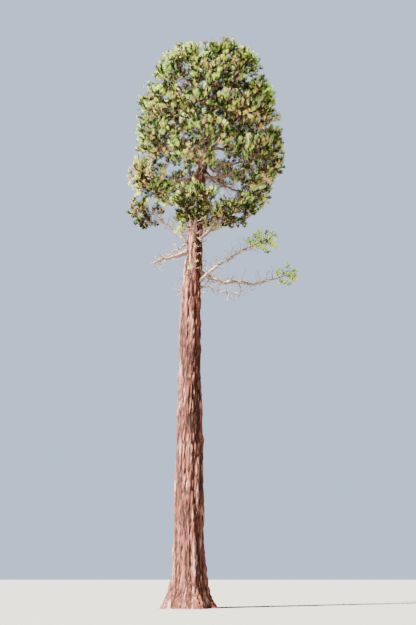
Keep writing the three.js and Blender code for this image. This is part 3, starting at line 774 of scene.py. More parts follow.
def depths(points):
    """How far out in every mass's space each point lies: 1 is the skin of the ellipsoid."""
    away = points[None] - centres[:, None]
    out = np.einsum("mpi,mi->mp", away, outwards) / half_sizes[:, :1]
    wide = np.einsum("mpi,mi->mp", away, sidewards) / half_sizes[:, 1:2]
    return np.sqrt(out**2 + wide**2 + (away[..., 2] / half_sizes[:, 2:]) ** 2)


def under_dome(points):
    """How far out in the crown each point lies: 1 is the dome."""
    level = points[:, 2].clip(CROWN_BASE, CROWN_TOP - DOME_TIP_GAP)
    azimuth = np.arctan2(points[:, 1], points[:, 0] - CROWN_ASIDE)
    swell = 1
    for around, up, turn, share in DOME_SWELLS:
        swell = swell + share * np.sin(around * azimuth + up * level + turn)
    away = np.hypot(points[:, 0] - CROWN_ASIDE, points[:, 1]) / (crown_radius(level) * swell)
    return np.where(points[:, 2] > CROWN_BASE, away, 2)


def in_space(depth, points):
    """Whether points at these depths of a mass lie in its space, or just past it under the dome."""
    reached = (depth <= 1) | ((depth <= SPACE_REACH) & (under_dome(points) < 1))
    return reached & (points[:, 2] <= TREE_HEIGHT)


def owned(number, points):
    """Whether each point lies in the space that one mass has to itself."""
    depth = depths(points)
    own = depth[number].copy()
    depth[number] = np.inf
    return in_space(own, points) & (own * SPACE_MARGIN < depth.min(axis=0))


def in_crown(points):
    """Whether points lie in any mass's space."""
    return in_space(depths(points).min(axis=0), points)


def reach_in(number, starts, ways, most):
    """How far straight twigs can go before they leave their mass's space."""
    reach = np.zeros(len(starts))
    going = np.ones(len(starts), bool)
    for step in range(1, int(most / REACH_STEP) + 2):
        going &= owned(number, starts + step * REACH_STEP * ways) & (reach < most)
        reach[going] += REACH_STEP
    return reach


def between_rows(rows, picks):
    """Rows of numbers read off between others, at fractions of their places."""
    return np.stack([np.interp(picks, np.arange(len(rows)), column) for column in rows.T], axis=1)


def balls_along(owner, points, radii):
    """A limb as a chain of balls: rows of place, radius and the number of the mass that owns it."""
    count = math.ceil(line_length(points) / BALL_SPACING) + 1
    rows = np.column_stack([points, radii, np.full(len(points), float(owner))])
    return between_rows(rows, np.linspace(0, len(points) - 1, count))


chains = [balls_along(-1, limb["line"], limb["radii"]) for limb in (*boughs, *DEAD_LIMBS)]
for number, mass in enumerate(masses):
    stem_line = along_curve(mass["stem"], np.linspace(0, 1, STEM_SAMPLES))
    stem_radii = np.linspace(mass["stem_radius"], STEM_TIP_RADIUS, STEM_SAMPLES)
    chains.append(balls_along(number, stem_line, stem_radii))
balls = np.concatenate(chains)


def clear_of_limbs(number, points):
    """Whether each point keeps its distance from the trunk and from the limbs of other masses."""
    level = points[:, 2]
    clear = (level >= TRUNK_TOP) | (from_axis(points) >= trunk_radius(level) + LIMB_CLEARANCE)
    low, high = points.min(axis=0) - BALLS_WITHIN, points.max(axis=0) + BALLS_WITHIN
    near = (balls[:, 4] != number) & np.all((balls[:, :3] > low) & (balls[:, :3] < high), axis=1)
    for ball in balls[near]:
        clear &= np.linalg.norm(points - ball[:3], axis=1) > ball[3] + LIMB_CLEARANCE
    return clear


def free(number, starts, ends, checks):
    """Whether straight twigs stay in their mass's space and clear of limbs all the way."""
    good = np.ones(len(starts), bool)
    for step in range(1, checks + 1):
        points = starts + (ends - starts) * step / checks
        good &= owned(number, points) & clear_of_limbs(number, points)
    return good


def out_from(ways, turn):
    """Ways square to others, each turned round its own by an angle."""
    side, above = sides_of(ways)
    return np.cos(turn)[:, None] * side + np.sin(turn)[:, None] * above


def ways_round(along, turn, lean, lift):
    """Ways that stand out round others, each by its turn, that lean along them and are lifted."""
    return unit(lean * along + out_from(along, turn) + lift * UP)


def grown(number, roots, ways, part, longest, shortest, checks):
    """Twigs that go part of the way out of their mass, but for those too short or not free all along."""
    reach = part * reach_in(number, roots, ways, longest)
    tips = roots + reach[:, None] * ways
    good = (reach > shortest) & free(number, roots, tips, checks)
    return roots[good], tips[good]


def places_along(most, mass, first, spread):
    """Even places for a mass's twigs along its stem, fewer on a low mass, with their golden turns."""
    count = round(most * min(1, mass["sizes"][2] / TWIG_FULL_HEIGHT) ** 0.5)
    return first + spread * (np.arange(count) + 0.5) / count, np.arange(count) * GOLDEN_ANGLE


def twigs_at(number, share, turn, lean, lift, part):
    """Twigs round a mass's stem at shares of its length, as roots and tips."""
    stem = masses[number]["stem"]
    ways = ways_round(way_of_curve(stem, share), turn, lean[:, None], lift)
    return grown(number, along_curve(stem, share), ways, part, TWIG_LONGEST, TWIG_SHORTEST, TWIG_CHECKS)


def first_twigs(number, mass):
    """The twigs of the solids: round the stem at the golden angle, turning up."""
    random = seeded_random(mass["seed"])
    share, turns = places_along(TWIGS, mass, TWIG_FIRST, TWIG_SPREAD)
    turns += FULL_TURN * random()
    lean = TWIG_LEAN + TWIG_LEAN_VARIES * np.array([random() for _ in share])
    return twigs_at(number, share, turns, lean, TWIG_LIFT, TWIG_REACH)


def later_twigs(number, mass, random):
    """More twigs on the same stem, by the same rule, where the solids leave room."""
    share, turns = places_along(LATER_TWIGS, mass, LATER_FIRST, LATER_SPREAD)
    turns += random.uniform(0, FULL_TURN)
    lean, lift, part = (random.uniform(*span, len(share)) for span in (LATER_LEAN, LATER_LIFT, LATER_REACH))
    return twigs_at(number, share, turns, lean, lift[:, None], part)


def places_on(line, share):
    """Places on a line at shares of the way, with the line's way at each."""
    picks = share * (len(line) - 1)
    return between_rows(line, picks), unit(np.gradient(line, axis=0))[np.rint(picks).astype(int)]


def branchlets_on(number, line, random):
    """Branchlets round one twig or stem, given as points, with one that goes on from its tip."""
    count = max(FEWEST_BRANCHLETS, round(line_length(line) / BRANCHLET_SPACING))
    share = (np.arange(count) + BRANCHLET_FIRST) / count
    share[-1] = 1
    roots, along = places_on(line, share)
    turn = random.uniform(0, FULL_TURN) + np.arange(count) * GOLDEN_ANGLE
    lean = random.uniform(*BRANCHLET_LEAN, count)
    lean[-1] = BRANCHLET_LEAN_AT_TIP
    ways = ways_round(along, turn, lean[:, None], BRANCHLET_LIFT)
    part = random.uniform(*BRANCHLET_REACH, count)
    limits = (BRANCHLET_LONGEST, BRANCHLET_SHORTEST, BRANCHLET_CHECKS)
    return grown(number, roots, ways, part, *limits)


def bowed_lines(starts, ends, stations, bow):
    """Lines from starts to ends, each with a number of stations, that hang below the straight way."""
    share = np.linspace(0, 1, stations)
    lines = starts[:, None] + (ends - starts)[:, None] * share[None, :, None]
    length = np.linalg.norm(ends - starts, axis=1)
    lines[..., 2] -= bow * length[:, None] * np.sin(math.pi * share)[None]
    return lines


def tapered_rods(lines, thick, thin, sides):
    """Corners and faces of closed rods along lines, which taper evenly and then end in a point."""
    count, stations = lines.shape[:2]
    radii = np.broadcast_to(np.linspace(thick, thin, stations, axis=-1), (count, stations))
    side, above = sides_of(unit(lines[:, -1] - lines[:, 0]))
    turn = FULL_TURN * np.arange(sides) / sides
    ring = np.cos(turn)[None, :, None] * side[:, None] + np.sin(turn)[None, :, None] * above[:, None]
    rings = lines[:, :-1, None] + radii[:, :-1, None, None] * ring[:, None]
    rings = rings.reshape(count, (stations - 1) * sides, 3)
    places = np.concatenate([rings, lines[:, -1:]], axis=1)
    steps = np.arange(sides)
    following = (steps + 1) % sides
    faces = []
    for station in range(stations - 2):
        low, high = station * sides, (station + 1) * sides
        faces.append(np.stack([low + steps, low + following, high + following], axis=1))
        faces.append(np.stack([low + steps, high + following, high + steps], axis=1))
    last = (stations - 2) * sides
    faces.append(np.stack([last + steps, last + following, 0 * steps + last + sides], axis=1))
    fan = np.arange(1, sides - 1)
    faces.append(np.stack([0 * fan, fan + 1, fan], axis=1))
    one = np.concatenate(faces)
    every = one[None] + (np.arange(count) * places.shape[1])[:, None, None]
    return places.reshape(-1, 3), every.reshape(-1, 3)


def joined_piece(name, parts, material, nodes):
    """One piece of many small closed shapes, given as corners and three-sided faces."""
    offsets = np.cumsum([0] + [len(places) for places, faces in parts])
    places = np.concatenate([places for places, faces in parts])
    faces = np.concatenate([faces + offset for (_, faces), offset in zip(parts, offsets)])
    mesh = bpy.data.meshes.new(name)
    mesh.vertices.add(len(places))
    mesh.vertices.foreach_set("co", places.astype(np.float32).ravel())
    mesh.loops.add(3 * len(faces))
    mesh.loops.foreach_set("vertex_index", faces.astype(np.int32).ravel())
    mesh.polygons.add(len(faces))
    mesh.polygons.foreach_set("loop_start", np.arange(0, 3 * len(faces), 3, dtype=np.int32))
    mesh.update(calc_edges=True)
    mesh.validate()
    mesh.shade_flat()
    mesh.materials.append(material)
    piece = bpy.data.objects.new(name, mesh)
    bpy.context.scene.collection.objects.link(piece)
    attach(piece, "root")
    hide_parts(*nodes)


# The tufts stand evenly in the outer shell of the crown, one in each cell of a loose grid, and deeper
# inside stand fewer, older ones. They gather in pads, each with painted light and shade: bright tufts
# on top, tufts darkened as painted shade below, and a sparser gap round it that is darkened as painted
# shade too. A cell has its place, its mass, its pad and its painted light, the share of its sprays that
# keep a bright tint.
TUFT_SPACING = 0.4
PAD_SPACING = 1.15
GRID_JITTER = 0.4
LEADER_TUFTS = ((2.45, 0, 36.95), (2.55, 0.1, 37.2), (2.45, -0.1, 37.4), (2.5, 0, 37.6))
OPEN_AIR = 0.9
OPEN_AIR_BELOW = 0.72
OUTER_SHARE = 0.95
INNER_HEIGHTS = (27.5, 33)
INNER_SHARES = (0.22, 0.6)
PAD_GAP = 0.22
PAD_GAP_SHARE = 0.3
THIN_PADS = 0.2
THIN_SHARE = 0.4
SMALL_SHARE = 0.55
GAP_PAINTED_LIGHT = 0.1
PAD_MIDDLE_PAINTED_LIGHT = 0.75
PAD_PAINTED_LIGHT_RISE = 1.1
THIN_PAINTED_LIGHT = 0.5
APART_MIDDLE_PAINTED_LIGHT = 0.6
LEAST_PAINTED_LIGHT = 0.05
PAINTED_LIT_ABOVE = 36.9


def loose_grid(spacing, random):
    """Points all over the crown's box, one in each cell of a loose grid."""
    past = SPACE_REACH * half_sizes.max(axis=1)[:, None]
    lows, highs = (centres - past).min(axis=0), (centres + past).max(axis=0)
    axes = [np.arange(low, high, spacing) for low, high in zip(lows, highs)]
    points = np.stack(np.meshgrid(*axes, indexing="ij"), axis=-1)
    points[:, ::2, :, 0] += spacing / 2
    points[:, :, ::2, 1] += spacing / 2
    points = points.reshape(-1, 3)
    return points + spacing * GRID_JITTER * random.uniform(-1, 1, points.shape)


random = np.random.default_rng(FINER_SEED)
cells = np.concatenate([loose_grid(TUFT_SPACING, random), LEADER_TUFTS])
cells = cells[in_crown(cells) & np.all((cells > solid_low) & (cells < solid_high), axis=1)]
outward = unit((cells - [CROWN_ASIDE, 0, 0]) * [1, 1, 0])
exposed = np.zeros(len(cells), bool)
for opening in (OPEN_AIR * outward, OPEN_AIR * UP, -OPEN_AIR_BELOW * UP):
    exposed |= ~in_crown(cells + opening)
inner_share = np.interp(cells[:, 2], INNER_HEIGHTS, INNER_SHARES)
kept = random.uniform(size=len(cells)) < np.where(exposed, OUTER_SHARE, inner_share)
cells, exposed = cells[kept], exposed[kept]

pads = loose_grid(PAD_SPACING, random)
apart = (cells**2).sum(axis=1)[:, None] + (pads**2).sum(axis=1)[None] - 2 * cells @ pads.T
apart = np.sqrt(apart.clip(0))
cell_pad = apart.argmin(axis=1)
nearest = np.partition(apart, 1, axis=1)
between = nearest[:, 1] - nearest[:, 0] < PAD_GAP
cell_owner = depths(cells).argmin(axis=0)
small = small_masses[cell_owner]
thin = (random.uniform(size=len(pads)) < THIN_PADS)[cell_pad]
dense = np.where(between, PAD_GAP_SHARE, 1) * np.where(thin, THIN_SHARE, 1)
kept = random.uniform(size=len(cells)) < np.where(small, SMALL_SHARE, dense)
exposed |= small
# Painted light: bright high in a pad, and darker as painted shade low in it, in the gaps and in thin pads.
# It is also darker low in the low masses, and full on the small masses and at the leader's top.
over_pad = (cells[:, 2] - pads[cell_pad, 2]) / PAD_SPACING
over_middle = (cells[:, 2] - centres[cell_owner, 2]) / half_sizes[cell_owner, 2]
cell_painted_light = (PAD_MIDDLE_PAINTED_LIGHT + PAD_PAINTED_LIGHT_RISE * over_pad).clip(LEAST_PAINTED_LIGHT, 1)
cell_painted_light = np.where(between, GAP_PAINTED_LIGHT, cell_painted_light) * np.where(thin, THIN_PAINTED_LIGHT, 1)
apart_painted_light = (APART_MIDDLE_PAINTED_LIGHT + over_middle).clip(LEAST_PAINTED_LIGHT, 1)
cell_painted_light *= np.where(apart_masses[cell_owner], apart_painted_light, 1)
cell_painted_light[small | (cells[:, 2] > PAINTED_LIT_ABOVE)] = 1
cells, exposed, cell_owner, cell_pad, cell_painted_light = (
    rows[kept] for rows in (cells, exposed, cell_owner, cell_pad, cell_painted_light)
)


def branchlets_to(number, cells, limb_points):
    """Branchlets to a mass's tufts, each from the nearest place on a twig that lies below and inside."""
    rising = unit(RISING_OUT * masses[number]["outward"] + RISING_UP * UP)
    gaps = cells[:, None] - limb_points[None]
    cost = np.linalg.norm(gaps, axis=2) + BACKWARD_COST * np.maximum(0, -(gaps @ rising))
    roots = limb_points[cost.argmin(axis=1)]
    length = np.linalg.norm(cells - roots, axis=1)
    good = (length > BRANCHLET_SHORTEST) & (length < BRANCHLET_LONGEST)
    good &= free(number, roots, cells, BRANCHLET_CHECKS)
    return roots[good], cells[good], good


def columns(starts, ends, *notes):
    """Branchlets with notes on each, where one value is repeated for all of them."""
    return starts, ends, *(np.broadcast_to(note, len(starts)) for note in notes)


# A branchlet's tip is all but bare, or carries an old tuft, whose sprays are all tinted dark as old
# sprays and painted shade, or a full one.
BARE_TIP, OLD_TUFT, FULL_TUFT = 0, 1, 2
foliage_nodes = [mass["name"] for mass in masses]
rods = []
branchlets = []
for number, mass in enumerate(masses):
    random = np.random.default_rng(mass["seed"] + FINER_SEED)
    slim = SMALL_SLIMNESS if mass["small"] else 1
    stem_line = along_curve(mass["stem"], np.linspace(0, 1, STEM_STATIONS))
    stem_end = STEM_END_SLIMNESS * STEM_TIP_RADIUS * slim
    rods.append(tapered_rods(stem_line[None], mass["stem_radius"], stem_end, STEM_SIDES))
    twigs = (first_twigs(number, mass), later_twigs(number, mass, random))
    roots, tips = (np.concatenate(ends) for ends in zip(*twigs))
    twig_lines = bowed_lines(roots, tips, TWIG_STATIONS, TWIG_BOW)
    rods.append(tapered_rods(twig_lines, TWIG_RADIUS * slim, TWIG_TIP_RADIUS * slim, TWIG_SIDES))
    lines = [stem_line[STEM_BARE_STATIONS:], *twig_lines]
    for line in lines:
        branchlets.append(columns(*branchlets_on(number, line, random), number, BARE_TIP, 0.0, 0))
    mine = cell_owner == number
    starts, ends, good = branchlets_to(number, cells[mine], np.concatenate(lines))
    tuft = np.where(exposed[mine][good], FULL_TUFT, OLD_TUFT)
    light, pad = cell_painted_light[mine][good], cell_pad[mine][good]
    branchlets.append(columns(starts, ends, number, tuft, light, pad))
branchlet_roots, branchlet_ends, branchlet_mass, branchlet_tuft, branchlet_painted_light, branchlet_pad = (
    np.concatenate(column) for column in zip(*branchlets)
)
branchlet_lines = bowed_lines(branchlet_roots, branchlet_ends, BRANCHLET_STATIONS, BRANCHLET_BOW)
rods.append(tapered_rods(branchlet_lines, BRANCHLET_RADIUS, BRANCHLET_TIP_RADIUS, BRANCHLET_SIDES))
twig_bark = grain_finish("twig_bark", TWIG_COLOURS, fineness=40, relief=0.004)
joined_piece("twigs", rods, twig_bark, foliage_nodes)


# Under the crown and in its windows the boughs, the dead limbs and the trunk keep bare, crooked twigs of
# grey to pale tan wood that have long lost their leaves. Each is a thin rod that forks three times.
BARE_SEED = 900
BARE_SPACING = 0.17
BARE_FIRST = 0.1
BARE_ALONG, BARE_UP = 0.5, 0.25
BARE_LENGTH = (0.35, 1.2)
BARE_STATIONS = 6
BARE_SIDES = 4
BARE_CROOKED = 0.3
BARE_LIFT = 0.1
BARE_RADIUS = (0.02, 0.045)
BARE_END_SLIMNESS = 0.15
BARE_CHECKS = (0.45, 0.7, 1.0)
BARE_FORKS = ((0.3, 0.55), (0.55, 0.5), (0.75, 0.4))
FORK_ALONG = 0.7
FORK_SLIMNESS = 0.6
FORK_THINNING = 0.6
FORK_END_SLIMNESS = 0.2
FORK_STATIONS = 4
FORK_SIDES = 3
TRUNK_SNAGS = 84
SNAG_HEIGHTS = (18.0, 25.0)
SNAG_STRAY = 0.35
SNAG_SUNK = 0.97
SNAG_SHORTER = 0.7
NO_MASS = -2
BARE_COLOURS = ((0.1, 0.065, 0.05, 1), (0.31, 0.22, 0.17, 1), (0.52, 0.43, 0.35, 1))


def point_on(lines, which, share):
    """Points on some of many lines of several stations, at shares of the way."""
    picks = share * (lines.shape[1] - 1)
    before = np.floor(picks).astype(int).clip(0, lines.shape[1] - 2)
    part = (picks - before)[:, None]
    return lines[which, before] * (1 - part) + lines[which, before + 1] * part


def crooked_lines(starts, ways, lengths, stations, random):
    """Lines that set out from their starts, change their way at each station and slowly turn up."""
    lines = [starts]
    for _ in range(stations - 1):
        ways = unit(ways + BARE_CROOKED * random.normal(size=ways.shape) + BARE_LIFT * UP)
        lines.append(lines[-1] + ways * (lengths / (stations - 1))[:, None])
    return np.stack(lines, axis=1)


def forked_twigs(starts, ways, lengths, random):
    """Rods of bare twigs with their forks, without those that would touch a limb."""
    lines = crooked_lines(starts, ways, lengths, BARE_STATIONS, random)
    every = np.arange(len(lines))
    good = np.ones(len(lines), bool)
    for share in BARE_CHECKS:
        good &= clear_of_limbs(NO_MASS, point_on(lines, every, np.full(len(lines), share)))
    lines, lengths = lines[good], lengths[good]
    every = np.arange(len(lines))
    wide = random.uniform(*BARE_RADIUS, len(lines))
    found = [tapered_rods(lines, wide, BARE_END_SLIMNESS * wide, BARE_SIDES)]
    along = unit(lines[:, -1] - lines[:, 0])
    for share, size in BARE_FORKS:
        roots = point_on(lines, every, np.full(len(lines), share))
        heading = ways_round(along, random.uniform(0, FULL_TURN, len(lines)), FORK_ALONG, 0)
        forks = crooked_lines(roots, heading, size * lengths, FORK_STATIONS, random)
        narrow = FORK_SLIMNESS * wide * (1 - FORK_THINNING * share)
        found.append(tapered_rods(forks, narrow, FORK_END_SLIMNESS * narrow, FORK_SIDES))
    return found


random = np.random.default_rng(BARE_SEED)
bare = []
for limb in (*boughs, *DEAD_LIMBS):
    count = int(line_length(limb["line"]) / BARE_SPACING)
    share = BARE_FIRST + (1 - BARE_FIRST) * (np.arange(count) + 0.5) / count
    roots, along = places_on(limb["line"], share)
    turn = random.uniform(0, FULL_TURN) + np.arange(count) * GOLDEN_ANGLE
    ways = ways_round(along, turn, BARE_ALONG, BARE_UP)
    bare += forked_twigs(roots, ways, random.uniform(*BARE_LENGTH, count), random)
level = random.uniform(*SNAG_HEIGHTS, TRUNK_SNAGS)
out = level_way(np.arange(TRUNK_SNAGS) * GOLDEN_ANGLE)
ways = unit(out + SNAG_STRAY * random.normal(size=out.shape))
roots = trunk_axis(level) + SNAG_SUNK * trunk_radius(level)[:, None] * out
bare += forked_twigs(roots, ways, SNAG_SHORTER * random.uniform(*BARE_LENGTH, TRUNK_SNAGS), random)
bare_wood = grain_finish("bare_twig_wood", BARE_COLOURS, fineness=40, relief=0.003)
limb_nodes = [limb["name"] for limb in (*boughs, *DEAD_LIMBS)]
joined_piece("bare_twigs", bare, bare_wood, limb_nodes)


# Sprays of cord-like shoots, thin stems in scale leaves, stand in upright tufts on the branchlets' ends.
# Each is a slim closed spike with side spikes, four on a young one and two on an old one. A tuft has one
# main green, dealt out by chance. Its low sprays, those in cells with little painted light and those of
# the old tufts are tinted as old sprays and painted shade: near-black green, russet or tan. More tan
# sprays are dealt out low in the crown.
TUFT_SPRAYS = 16
OLD_TUFT_SPRAYS = 8
BARE_TIP_SPRAYS = 2
TUFT_ALONG, TUFT_UP, TUFT_OUTWARD = 0.55, 0.75, 0.15
TUFT_DEPTH = 0.32
TUFT_DEEPEST_SHARE = 0.8
TUFT_LAST_ROOT = 0.99
TUFT_NARROWING = 0.75
TUFT_SPREAD = (0.7, 1.15)
TUFT_LIFT = 0.15
LOWEST_FRESH_AND_PAINTED_LIT = 0.04
FRESH_AND_PAINTED_LIT_RISE = 1.6
FRESH_IN_SMALL = 0.5
OLD_SPRAY_SPACING = 0.4
OLD_SPRAY_PLACES = (0.1, 0.95)
OLD_SPRAY_LEAN = (0.2, 0.8)
OLD_SPRAY_LIFT = 0.3
SPRAY_LENGTH = (0.24, 0.4)
SPRAY_SHORTEST = 0.12
SPRAY_RADIUS = (0.013, 0.02)
SIDE_SHOOTS = ((0.12, 0.6, 0.6), (0.27, 0.55, 0.55), (0.42, 0.5, 0.5), (0.6, 0.45, 0.4))
OLD_SIDE_SHOOTS = ((0.2, 0.6, 0.6), (0.45, 0.5, 0.55))
OLD_WIDER = 1.5
SIDE_SHOOT_SLIMNESS = 0.85
SPRAY_SIDES = 3
SPRAY_SEED = 7000
SPRAYS_IN_PIECE = 12000
REACH_PAST_SOLIDS = 0.002
WINDOWS = (
    (2.55, 25.55, 0.85, 0.6),
    (1.05, 26.55, 0.55, 0.95),
    (1.85, 28.5, 0.4, 0.8),
    (-0.75, 34.1, 0.4, 0.45),
    (-3.45, 33.3, 0.6, 0.4),
)
WINDOW_EDGE = (0.6, 1.2)
LEADER_ASIDE = 2.5
LEADER_WIDTHS = (0.2, 0.55)
SHOULDER_HEIGHT = 37.45
SHOULDER_SLOPES = (0.25, 0.8)
TINTS = dict(
    fresh_green=(0.41, 0.66, 0.06, 1),
    yellow_olive=(0.5, 0.69, 0.11, 1),
    mid_green=(0.085, 0.21, 0.016, 1),
    # painted shade: a green so dark that it stands for the shade on old and shaded sprays
    painted_shade_green=(0.01, 0.02, 0.005, 1),
    grey_green=(0.38, 0.58, 0.24, 1),
    tan_spray=(0.85, 0.48, 0.21, 1),
    russet_spray=(0.13, 0.055, 0.025, 1),
)
TUFT_SHARES = (0.5, 0.2, 0.17, 0, 0.13, 0, 0)
MIXED_SHARES = (0.36, 0.2, 0.24, 0.1, 0.09, 0.01, 0)
OLD_AND_PAINTED_SHADE_SHARES = (0, 0.02, 0.07, 0.72, 0.01, 0.05, 0.13)
OLD_AND_PAINTED_SHADE = -1
SMALL_MASS_TINTS = 2
MIXED_SPRAYS = 0.4
PAD_TINTED = 0.6
DARK_TINTS = ("painted_shade_green", "russet_spray")
DARK_ROUGHNESS, DARK_GLOSS = 0.9, 0.03
FRESH_ROUGHNESS, FRESH_GLOSS = 0.45, 0.5
TAN_TOP = 33.0
TAN_SPRAYS = (0.07, 0.3)
TAN_LEAST_PAINTED_LIGHT = 0.2
FRONT_TAN = 0.25


def in_window(points, edge):
    """Whether points lie in an open window through the foliage, as it is seen from the ground."""
    away = points - EYE
    seen = EYE - EYE[1] * away / away[:, 1:2]
    inside = [
        np.hypot((seen[:, 0] - x) / wide, (seen[:, 2] - height) / high) < edge
        for x, height, wide, high in WINDOWS
    ]
    return np.any(inside, axis=0)


def by_leader(points):
    """Whether points lie below the crown's shoulders, or in the narrow tip of the leader above them."""
    right, back, level = (points - [LEADER_ASIDE, 0, 0]).T
    narrow = np.hypot(right, back) < LEADER_WIDTHS[0] + LEADER_WIDTHS[1] * (TREE_HEIGHT - level)
    fall = SHOULDER_SLOPES[0] * right.clip(0) + SHOULDER_SLOPES[1] * np.abs(back)
    return narrow | (level < SHOULDER_HEIGHT - fall)


def repeated(counts):
    """For rows that are each repeated some times: the row's number, and the step within it."""
    which = np.repeat(np.arange(len(counts)), counts)
    return which, np.arange(len(which)) - np.repeat(np.cumsum(counts) - counts, counts)


random = np.random.default_rng(SPRAY_SEED)
branchlet_tint = random.choice(len(TINTS), len(branchlet_roots), p=TUFT_SHARES)
pad_tints = random.choice(len(TINTS), len(pads), p=TUFT_SHARES)
as_pad = random.uniform(size=len(branchlet_tint)) < PAD_TINTED
branchlet_tint[as_pad] = pad_tints[branchlet_pad[as_pad]]
on_small = small_masses[branchlet_mass]
branchlet_tint[on_small] = random.choice(SMALL_MASS_TINTS, on_small.sum())
low_share = ((TAN_TOP - branchlet_ends[:, 2]) / (TAN_TOP - CROWN_BASE)).clip(0, 1)
branchlet_tan = TAN_SPRAYS[0] + (TAN_SPRAYS[1] - TAN_SPRAYS[0]) * low_share
branchlet_tan *= random.uniform(0, 2, len(pads))[branchlet_pad]
branchlet_tan[on_small] = TAN_SPRAYS[0]
in_front = np.array(["front" in name for name in foliage_nodes])[branchlet_mass]
branchlet_tan[in_front] *= FRONT_TAN
side_margin = REACH_PAST_SOLIDS * (solid_high - solid_low)
sprays = []
for number, mass in enumerate(masses):
    mine = branchlet_mass == number
    starts, ends, lines, tufts = (
        rows[mine] for rows in (branchlet_roots, branchlet_ends, branchlet_lines, branchlet_tuft)
    )
    length = np.linalg.norm(ends - starts, axis=1)
    along = unit(ends - starts)
    upright = unit(TUFT_ALONG * along + TUFT_UP * UP + TUFT_OUTWARD * mass["outward"])

    # The tuft: its sprays start along the branchlet's end and fan out, the lowest the widest.
    at_bare_tip = 0 if mass["small"] else BARE_TIP_SPRAYS
    which, step = repeated(np.choose(tufts, (at_bare_tip, OLD_TUFT_SPRAYS, TUFT_SPRAYS)))
    up_share = step / (TUFT_SPRAYS - 1)
    share = 1 - (1 - up_share) * (TUFT_DEPTH / length[which]).clip(0, TUFT_DEEPEST_SHARE)
    roots = point_on(lines, which, share.clip(0, TUFT_LAST_ROOT))
    turn = random.uniform(0, FULL_TURN, len(starts))[which] + step * GOLDEN_ANGLE
    spread = (1 - TUFT_NARROWING * up_share) * random.uniform(*TUFT_SPREAD, len(step))
    spread = spread[:, None]
    out = out_from(upright[which], turn)
    ways = unit(np.cos(spread) * upright[which] + np.sin(spread) * out + TUFT_LIFT * UP)
    # Painted light: a spray keeps its tuft's bright tint more often high in the tuft and where the cell's
    # painted light is high. The others are tinted as old sprays and painted shade.
    light = branchlet_painted_light[mine][which]
    fresh_and_painted_lit = light * (LOWEST_FRESH_AND_PAINTED_LIT + FRESH_AND_PAINTED_LIT_RISE * up_share) + FRESH_IN_SMALL * mass["small"]
    old_and_painted_shade = random.uniform(size=len(step)) > fresh_and_painted_lit
    mixed = random.choice(len(TINTS), len(step), p=MIXED_SHARES)
    own = np.where(random.uniform(size=len(step)) < MIXED_SPRAYS, mixed, branchlet_tint[mine][which])
    full = tufts[which] == FULL_TUFT
    tint = np.where(full & ~old_and_painted_shade, own, OLD_AND_PAINTED_SHADE)
    turned = random.uniform(size=len(step)) < branchlet_tan[mine][which]
    tint[turned & full & (light > TAN_LEAST_PAINTED_LIGHT)] = list(TINTS).index("tan_spray")
    tuft = (roots, ways, tint)

    # Old sprays along the rest of the branchlet, tinted dark as old sprays and painted shade.
    which, step = repeated(np.rint(length / OLD_SPRAY_SPACING).astype(int) * (not mass["small"]))
    roots = point_on(lines, which, random.uniform(*OLD_SPRAY_PLACES, len(step)))
    turn = random.uniform(0, FULL_TURN, len(step))
    lean = random.uniform(*OLD_SPRAY_LEAN, len(step))[:, None]
    ways = ways_round(along[which], turn, lean, OLD_SPRAY_LIFT)
    old = (roots, ways, np.full(len(step), OLD_AND_PAINTED_SHADE))

    roots, ways, tint = (np.concatenate(pair) for pair in zip(tuft, old))
    wanted = random.uniform(*SPRAY_LENGTH, len(roots))
    reach = np.minimum(wanted, reach_in(number, roots, ways, SPRAY_LENGTH[1]))
    tips = roots + reach[:, None] * ways
    edge = random.uniform(*WINDOW_EDGE, len(roots))
    good = (reach > SPRAY_SHORTEST) & ~in_window(roots, edge) & ~in_window(tips, edge)
    good &= np.all((tips > solid_low - side_margin) & (tips < solid_high + side_margin), axis=1)
    good &= by_leader(tips)
    good &= clear_of_limbs(number, tips) & clear_of_limbs(number, (roots + tips) / 2)
    sprays.append((roots[good], ways[good], reach[good], tint[good]))
spray_roots, spray_ways, spray_lengths, spray_tints = (np.concatenate(column) for column in zip(*sprays))
old = spray_tints == OLD_AND_PAINTED_SHADE
spray_tints[old] = random.choice(len(TINTS), old.sum(), p=OLD_AND_PAINTED_SHADE_SHARES)


def shoots_of(roots, ways, lengths, wider, side_shoots, random):
    """Corners and faces of the shoots of many sprays: a long spike with side spikes on each."""
    lines = [np.stack([roots, roots + lengths[:, None] * ways], axis=1)]
    wide = [wider * random.uniform(*SPRAY_RADIUS, len(roots))]
    turn = random.uniform(0, FULL_TURN, len(roots))
    for share, spread, size in side_shoots:
        turn = turn + GOLDEN_ANGLE
        way = math.cos(spread) * ways + math.sin(spread) * out_from(ways, turn)
        start = roots + share * lengths[:, None] * ways
        lines.append(np.stack([start, start + size * lengths[:, None] * way], axis=1))
        wide.append(SIDE_SHOOT_SLIMNESS * wide[0])
    return tapered_rods(np.concatenate(lines), np.concatenate(wide), 0, SPRAY_SIDES)


def plain_finish(name, colour, roughness, gloss):
    """A material of one colour."""
    material, tree, shader = new_material(name)
    sockets = {"Base Color": colour, "Roughness": roughness, "Specular IOR Level": gloss}
    set_sockets(tree, shader, sockets)
    return material


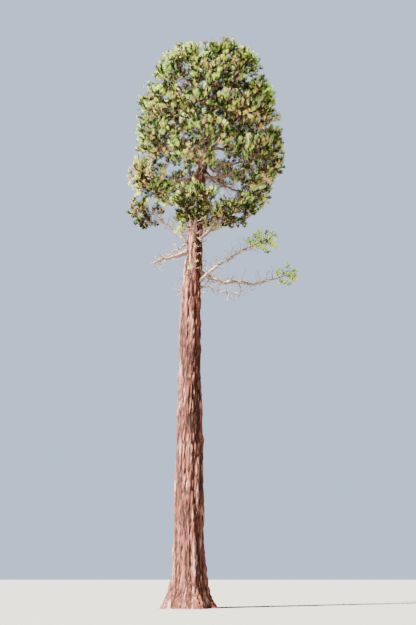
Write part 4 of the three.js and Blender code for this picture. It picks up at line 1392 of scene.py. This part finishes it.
for number, (name, colour) in enumerate(TINTS.items()):
    if name in DARK_TINTS:
        finish = plain_finish(name, colour, DARK_ROUGHNESS, DARK_GLOSS)
        kind = (OLD_WIDER, OLD_SIDE_SHOOTS)
    else:
        finish = plain_finish(name, colour, FRESH_ROUGHNESS, FRESH_GLOSS)
        kind = (1, SIDE_SHOOTS)
    mine = np.flatnonzero(spray_tints == number)
    for batch in range(0, len(mine), SPRAYS_IN_PIECE):
        some = mine[batch : batch + SPRAYS_IN_PIECE]
        spikes = shoots_of(spray_roots[some], spray_ways[some], spray_lengths[some], *kind, random)
        piece_name = f"sprays_{name}_{batch // SPRAYS_IN_PIECE + 1}"
        joined_piece(piece_name, [spikes], finish, foliage_nodes)


# A pale, matt floor lies just under the flat cut at ground level. Round it is an even, pale blue-grey
# surrounding, and one soft sun shines from the upper left in front.
FLOOR_SIZE = 2000
FLOOR_DROP = 0.002
FLOOR_COLOUR = (0.25, 0.25, 0.24, 1)
FLOOR_ROUGHNESS, FLOOR_GLOSS = 0.9, 0.5
SUN_PLACE = (-30, -30, 50)
SUN_FROM = (-0.6, -0.36, 0.72)
SUN_STRENGTH = 47
SUN_WIDTH = 5
SUN_COLOUR = (1.0, 0.97, 0.88)
SURROUND_COLOUR = (0.62, 0.76, 1.0, 1)
SURROUND_LIGHT, SURROUND_SEEN = 0.045, 1.1

select_only()
bpy.ops.mesh.primitive_plane_add(size=FLOOR_SIZE, location=(0, 0, -FLOOR_DROP))
floor = bpy.context.object
floor.name = "pale_floor"
bpy.ops.object.transform_apply(location=True)
floor.data.materials.append(plain_finish("pale_floor", FLOOR_COLOUR, FLOOR_ROUGHNESS, FLOOR_GLOSS))
floor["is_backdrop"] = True

bpy.ops.object.light_add(type="SUN", location=SUN_PLACE)
sun = bpy.context.object
sun.name = "soft_sun"
sun.data.energy = SUN_STRENGTH
sun.data.angle = math.radians(SUN_WIDTH)
sun.data.color = SUN_COLOUR
sun.rotation_euler = Vector(SUN_FROM).to_track_quat("Z", "Y").to_euler()

surround = bpy.data.worlds.new("pale_surround")
bpy.context.scene.world = surround
surround.use_nodes = True
ray = new_node(surround.node_tree, "ShaderNodeLightPath", {}).outputs["Is Camera Ray"]
strength = ranged(surround.node_tree, ray, (0, 1), (SURROUND_LIGHT, SURROUND_SEEN))
light = {"Color": SURROUND_COLOUR, "Strength": strength}
set_sockets(surround.node_tree, surround.node_tree.nodes["Background"], light)

low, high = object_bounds()
